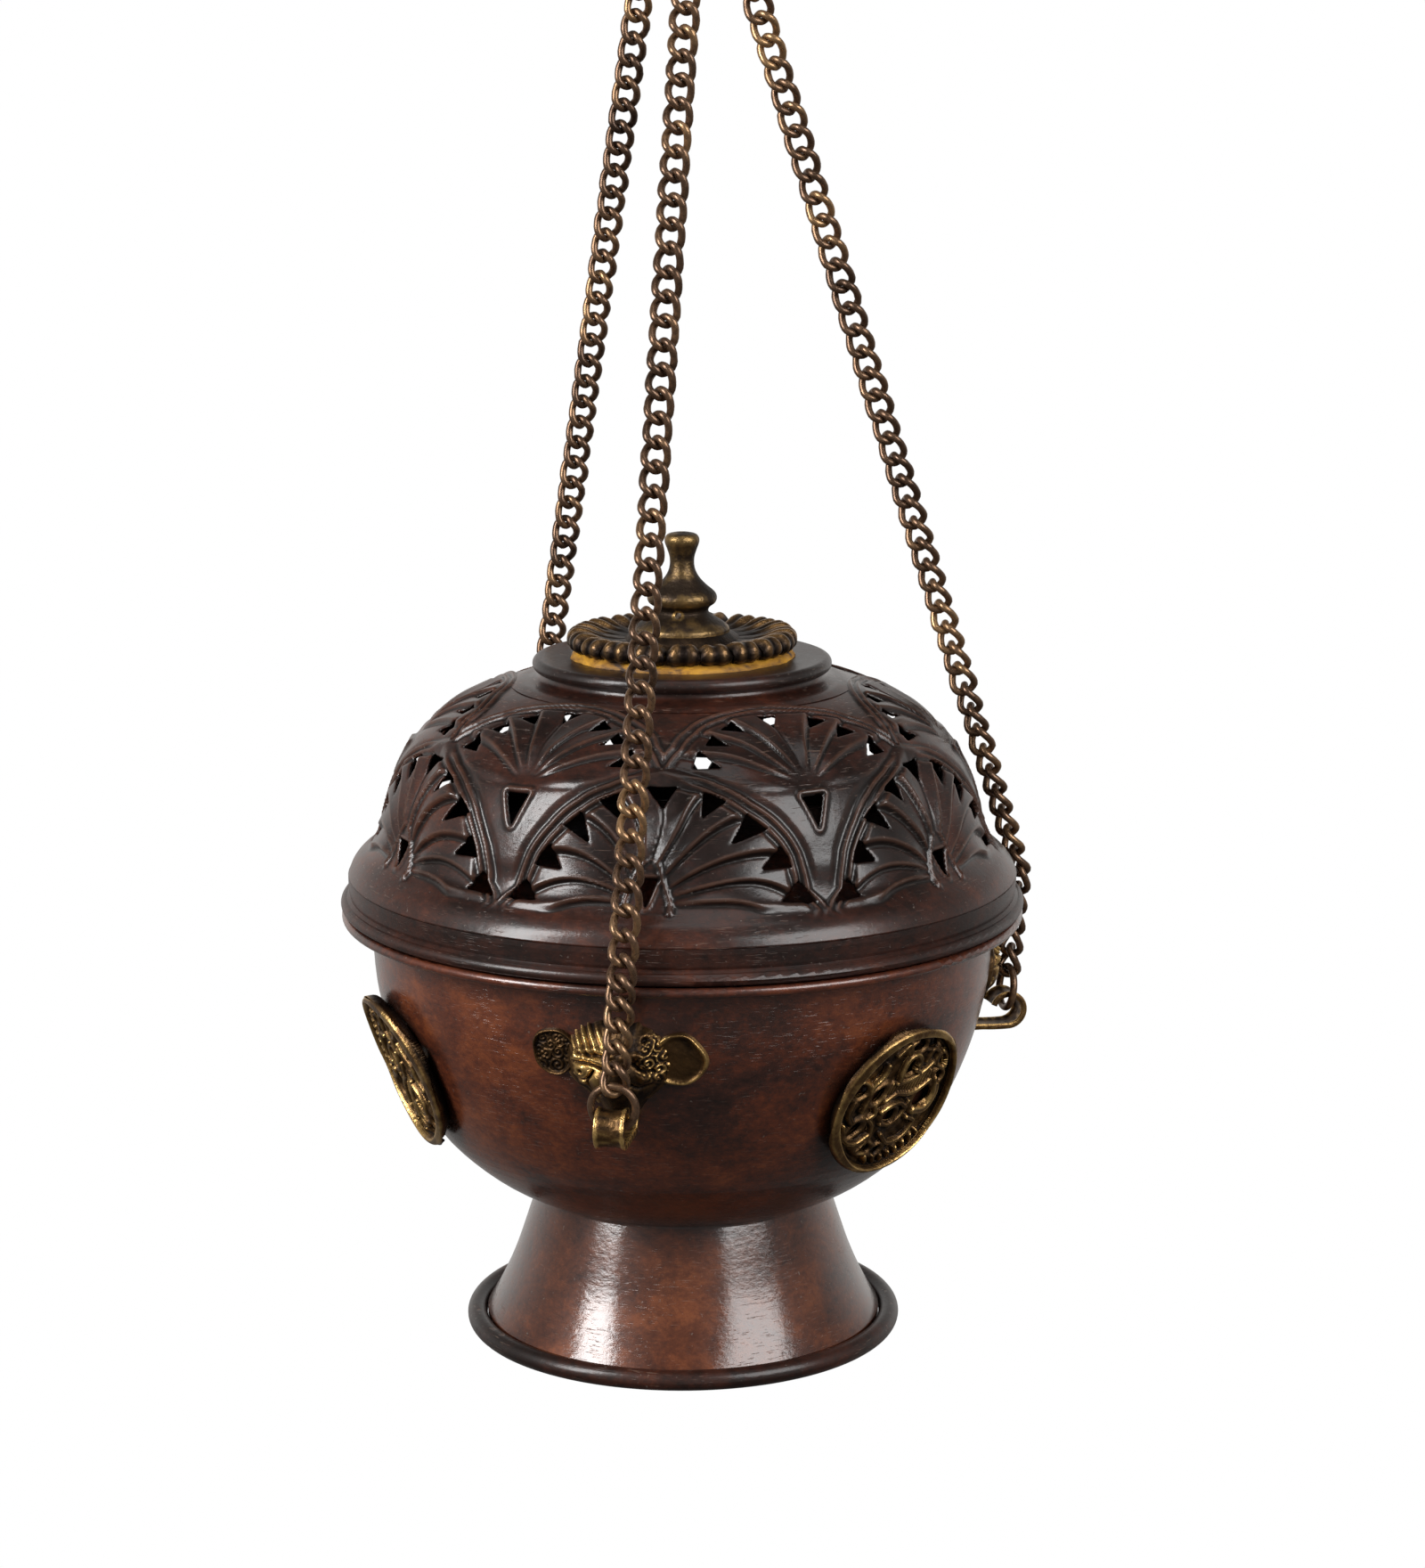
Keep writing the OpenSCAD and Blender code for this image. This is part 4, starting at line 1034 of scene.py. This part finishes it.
def ochre_compound(name):
    """Dry ochre filler with grime lying on it."""
    mat, tree, shader = new_material(name)
    grime = noise(tree, place(tree, (1, 1, 2)), 150, 5, 0.65, 0.4)
    colour = ramp(tree, grime, [(0.36, (0.035, 0.015, 0.005)), (0.48, (0.3, 0.135, 0.01)),
                                (0.7, (0.62, 0.31, 0.02))])
    put(tree, shader.inputs["Base Color"], colour)
    shader.inputs["Roughness"].default_value = 0.62
    put(tree, shader.inputs["Normal"], bump(tree, noise(tree, place(tree), 500, 4), 0.0003, 0.7))
    return mat


# colours of each copper from its darkest patches to its most rubbed
COPPER_STOPS = [(0.38, (0.014, 0.006, 0.0045)), (0.46, (0.05, 0.016, 0.01)),
                (0.53, (0.12, 0.028, 0.011)), (0.63, (0.25, 0.064, 0.018))]
LID_STOPS = [(0.38, (0.005, 0.002, 0.0012)), (0.48, (0.013, 0.0042, 0.0024)),
             (0.57, (0.04, 0.01, 0.0045)), (0.68, (0.11, 0.026, 0.008))]
FOOT_STOPS = [(0.37, (0.016, 0.006, 0.004)), (0.45, (0.035, 0.011, 0.007)),
              (0.54, (0.09, 0.024, 0.009)), (0.65, (0.2, 0.055, 0.016))]
# painted shade round the masks and medallions: middle, and the radii in metres where it thins and ends
painted_shade_spots = [(at_azimuth(74, MASK_AT[1] - 3, a) * MM, 0.011, 0.02) for a in LUG_AZIMUTH.values()]
painted_shade_spots += [(at_azimuth(*MEDAL_AT, a) * MM, 0.0215, 0.0255) for a in MEDAL_AZIMUTH.values()]
materials = {
    "copper": patina_copper("copper_bowl", COPPER_STOPS, shade_halos=painted_shade_spots),
    "dark_copper": patina_copper("copper_lid", LID_STOPS, gloss=0.22, metallic=0.1, streak=1.6,
                                 seed=1.3, coat=0.42),
    "sooted_copper": patina_copper("copper_sooted", LID_STOPS, gloss=0.5, metallic=0.2, streak=1.0,
                                   seed=2.1, coat=0.0),
    "old_brass": old_brass("brass_aged", (0.012, 0.008, 0.006), (0.045, 0.029, 0.018),
                           (0.38, 0.24, 0.09), rough=(0.3, 0.6)),
    "dark_bronze": old_brass("bronze_dark", (0.015, 0.01, 0.007), (0.06, 0.038, 0.022),
                             (0.24, 0.15, 0.075)),
    "chain_bronze": chain_metal("chain_bronze"),
    "ochre_bed": ochre_compound("ochre_compound"),
}
node_slots = {part["node"]: part["material_slot"] for part in frame["record"]["subparts"]}
for name, node in nodes.items():
    given = node_slots.get(name, "copper")
    node.data.materials.clear()
    node.data.materials.append(materials[given])
nodes["foot"].data.materials[0] = patina_copper("copper_foot", FOOT_STOPS, gloss=0.11, metallic=0.2,
                                                seed=0.4)
# painted shade: the foot's bottom bead takes the darker lid copper so that it reads as shaded
nodes["foot_edge"].data.materials[0] = materials["dark_copper"]

build_chains(materials["chain_bronze"])
worked_copper = patina_copper("copper_worked", LID_STOPS, gloss=0.18, metallic=0.1, streak=1.6,
                              seed=1.3, worked=True, coat=0.5)
build_lid(worked_copper, materials["sooted_copper"])
cast_brass = old_brass("brass_cast", (0.014, 0.008, 0.005), (0.15, 0.08, 0.03), (0.78, 0.5, 0.18), "wear")
for name in CHAINS:
    build_mask(name, cast_brass)
    build_strap(name, cast_brass)
build_pins(cast_brass)
for name in MEDAL_AZIMUTH:
    build_medallion(name, cast_brass)
build_neck(worked_copper)
build_bed(materials["ochre_bed"])
build_rosette(old_brass("brass_leaves", (0.012, 0.007, 0.005), (0.075, 0.045, 0.025),
                        (0.34, 0.19, 0.075), "wear"))


# ---- studio
CAMERA_AT = (0.0074, -0.899, -0.112)
CAMERA_DIP = 11.83
SENSOR = 36
LENS = 85.90909
# upright softboxes: azimuth from the front, width in metres, watts
SOFTBOXES = {"soft_left": (-58, 0.58, 33), "soft_right": (49, 1.05, 23)}
SOFTBOX_HEIGHT = 1.1
SOFTBOX_AWAY = 1.5
SOFTBOX_LIFT = 0.55
LIT_MIDDLE = (0, 0, -0.36)


def area_light(name, at, width, height, watts):
    data = bpy.data.lights.new(name, "AREA")
    data.shape = "RECTANGLE"
    data.size, data.size_y = width, height
    data.energy = watts
    lamp = bpy.data.objects.new(name, data)
    lamp.location = at
    lamp.rotation_euler = (Vector(LIT_MIDDLE) - Vector(at)).to_track_quat("-Z", "Y").to_euler()
    bpy.context.scene.collection.objects.link(lamp)


def build_studio():
    scene = bpy.context.scene
    scene.view_settings.view_transform = "Standard"
    scene.view_settings.look = "None"
    camera = bpy.data.cameras.new("camera")
    camera.lens = LENS
    camera.sensor_width = SENSOR
    camera.clip_start, camera.clip_end = 0.05, 50
    eye = bpy.data.objects.new("camera", camera)
    eye.location = CAMERA_AT
    eye.rotation_euler = (math.radians(90 - CAMERA_DIP), 0, 0)
    scene.collection.objects.link(eye)
    scene.camera = eye

    for name, (azimuth, width, watts) in SOFTBOXES.items():
        a = math.radians(azimuth)
        at = (SOFTBOX_AWAY * math.sin(a), -SOFTBOX_AWAY * math.cos(a), SOFTBOX_LIFT)
        area_light(name, at, width, SOFTBOX_HEIGHT, watts)
    area_light("soft_top", (0.1, -0.1, 1.3), 0.8, 0.8, 2.5)

    # a pale floor and backdrop that only the camera sees
    pale = bpy.data.materials.new("pale")
    pale.use_nodes = True
    tree = pale.node_tree
    tree.nodes.clear()
    out = tree.nodes.new("ShaderNodeOutputMaterial")
    glow = tree.nodes.new("ShaderNodeEmission")
    glow.inputs["Color"].default_value = (1, 1, 1, 1)
    tree.links.new(glow.outputs[0], out.inputs[0])
    bpy.ops.mesh.primitive_plane_add(size=30, location=(0, 0, cad_low.z - 0.06))
    floor = bpy.context.object
    bpy.ops.mesh.primitive_uv_sphere_add(radius=14, location=(0, 0, 0))
    sky = bpy.context.object
    for part, name in ((floor, "floor"), (sky, "backdrop")):
        part.name = name
        part.data.materials.append(pale)
        part.visible_diffuse = part.visible_glossy = False
        part.visible_transmission = part.visible_shadow = False

    # soft room light, strongest behind the object and weakest overhead and underfoot
    world = bpy.data.worlds.new("studio")
    scene.world = world
    world.use_nodes = True
    tree = world.node_tree
    ground = tree.nodes["Background"]
    where = tree.nodes.new("ShaderNodeTexCoord")
    split = tree.nodes.new("ShaderNodeSeparateXYZ")
    tree.links.new(where.outputs["Generated"], split.inputs[0])
    behind = spread(tree, split.outputs["Y"], 0.1, 0.9, 0.25, 0.8)
    below = spread(tree, split.outputs["Z"], -0.5, 0, 0.3, 1.0)
    above = spread(tree, split.outputs["Z"], 0.15, 0.7, 1.0, 0.1)
    level = calc(tree, "MULTIPLY", below, above)
    tree.links.new(calc(tree, "MULTIPLY", behind, level), ground.inputs["Strength"])
    ground.inputs["Color"].default_value = (1, 0.97, 0.94, 1)


build_studio()
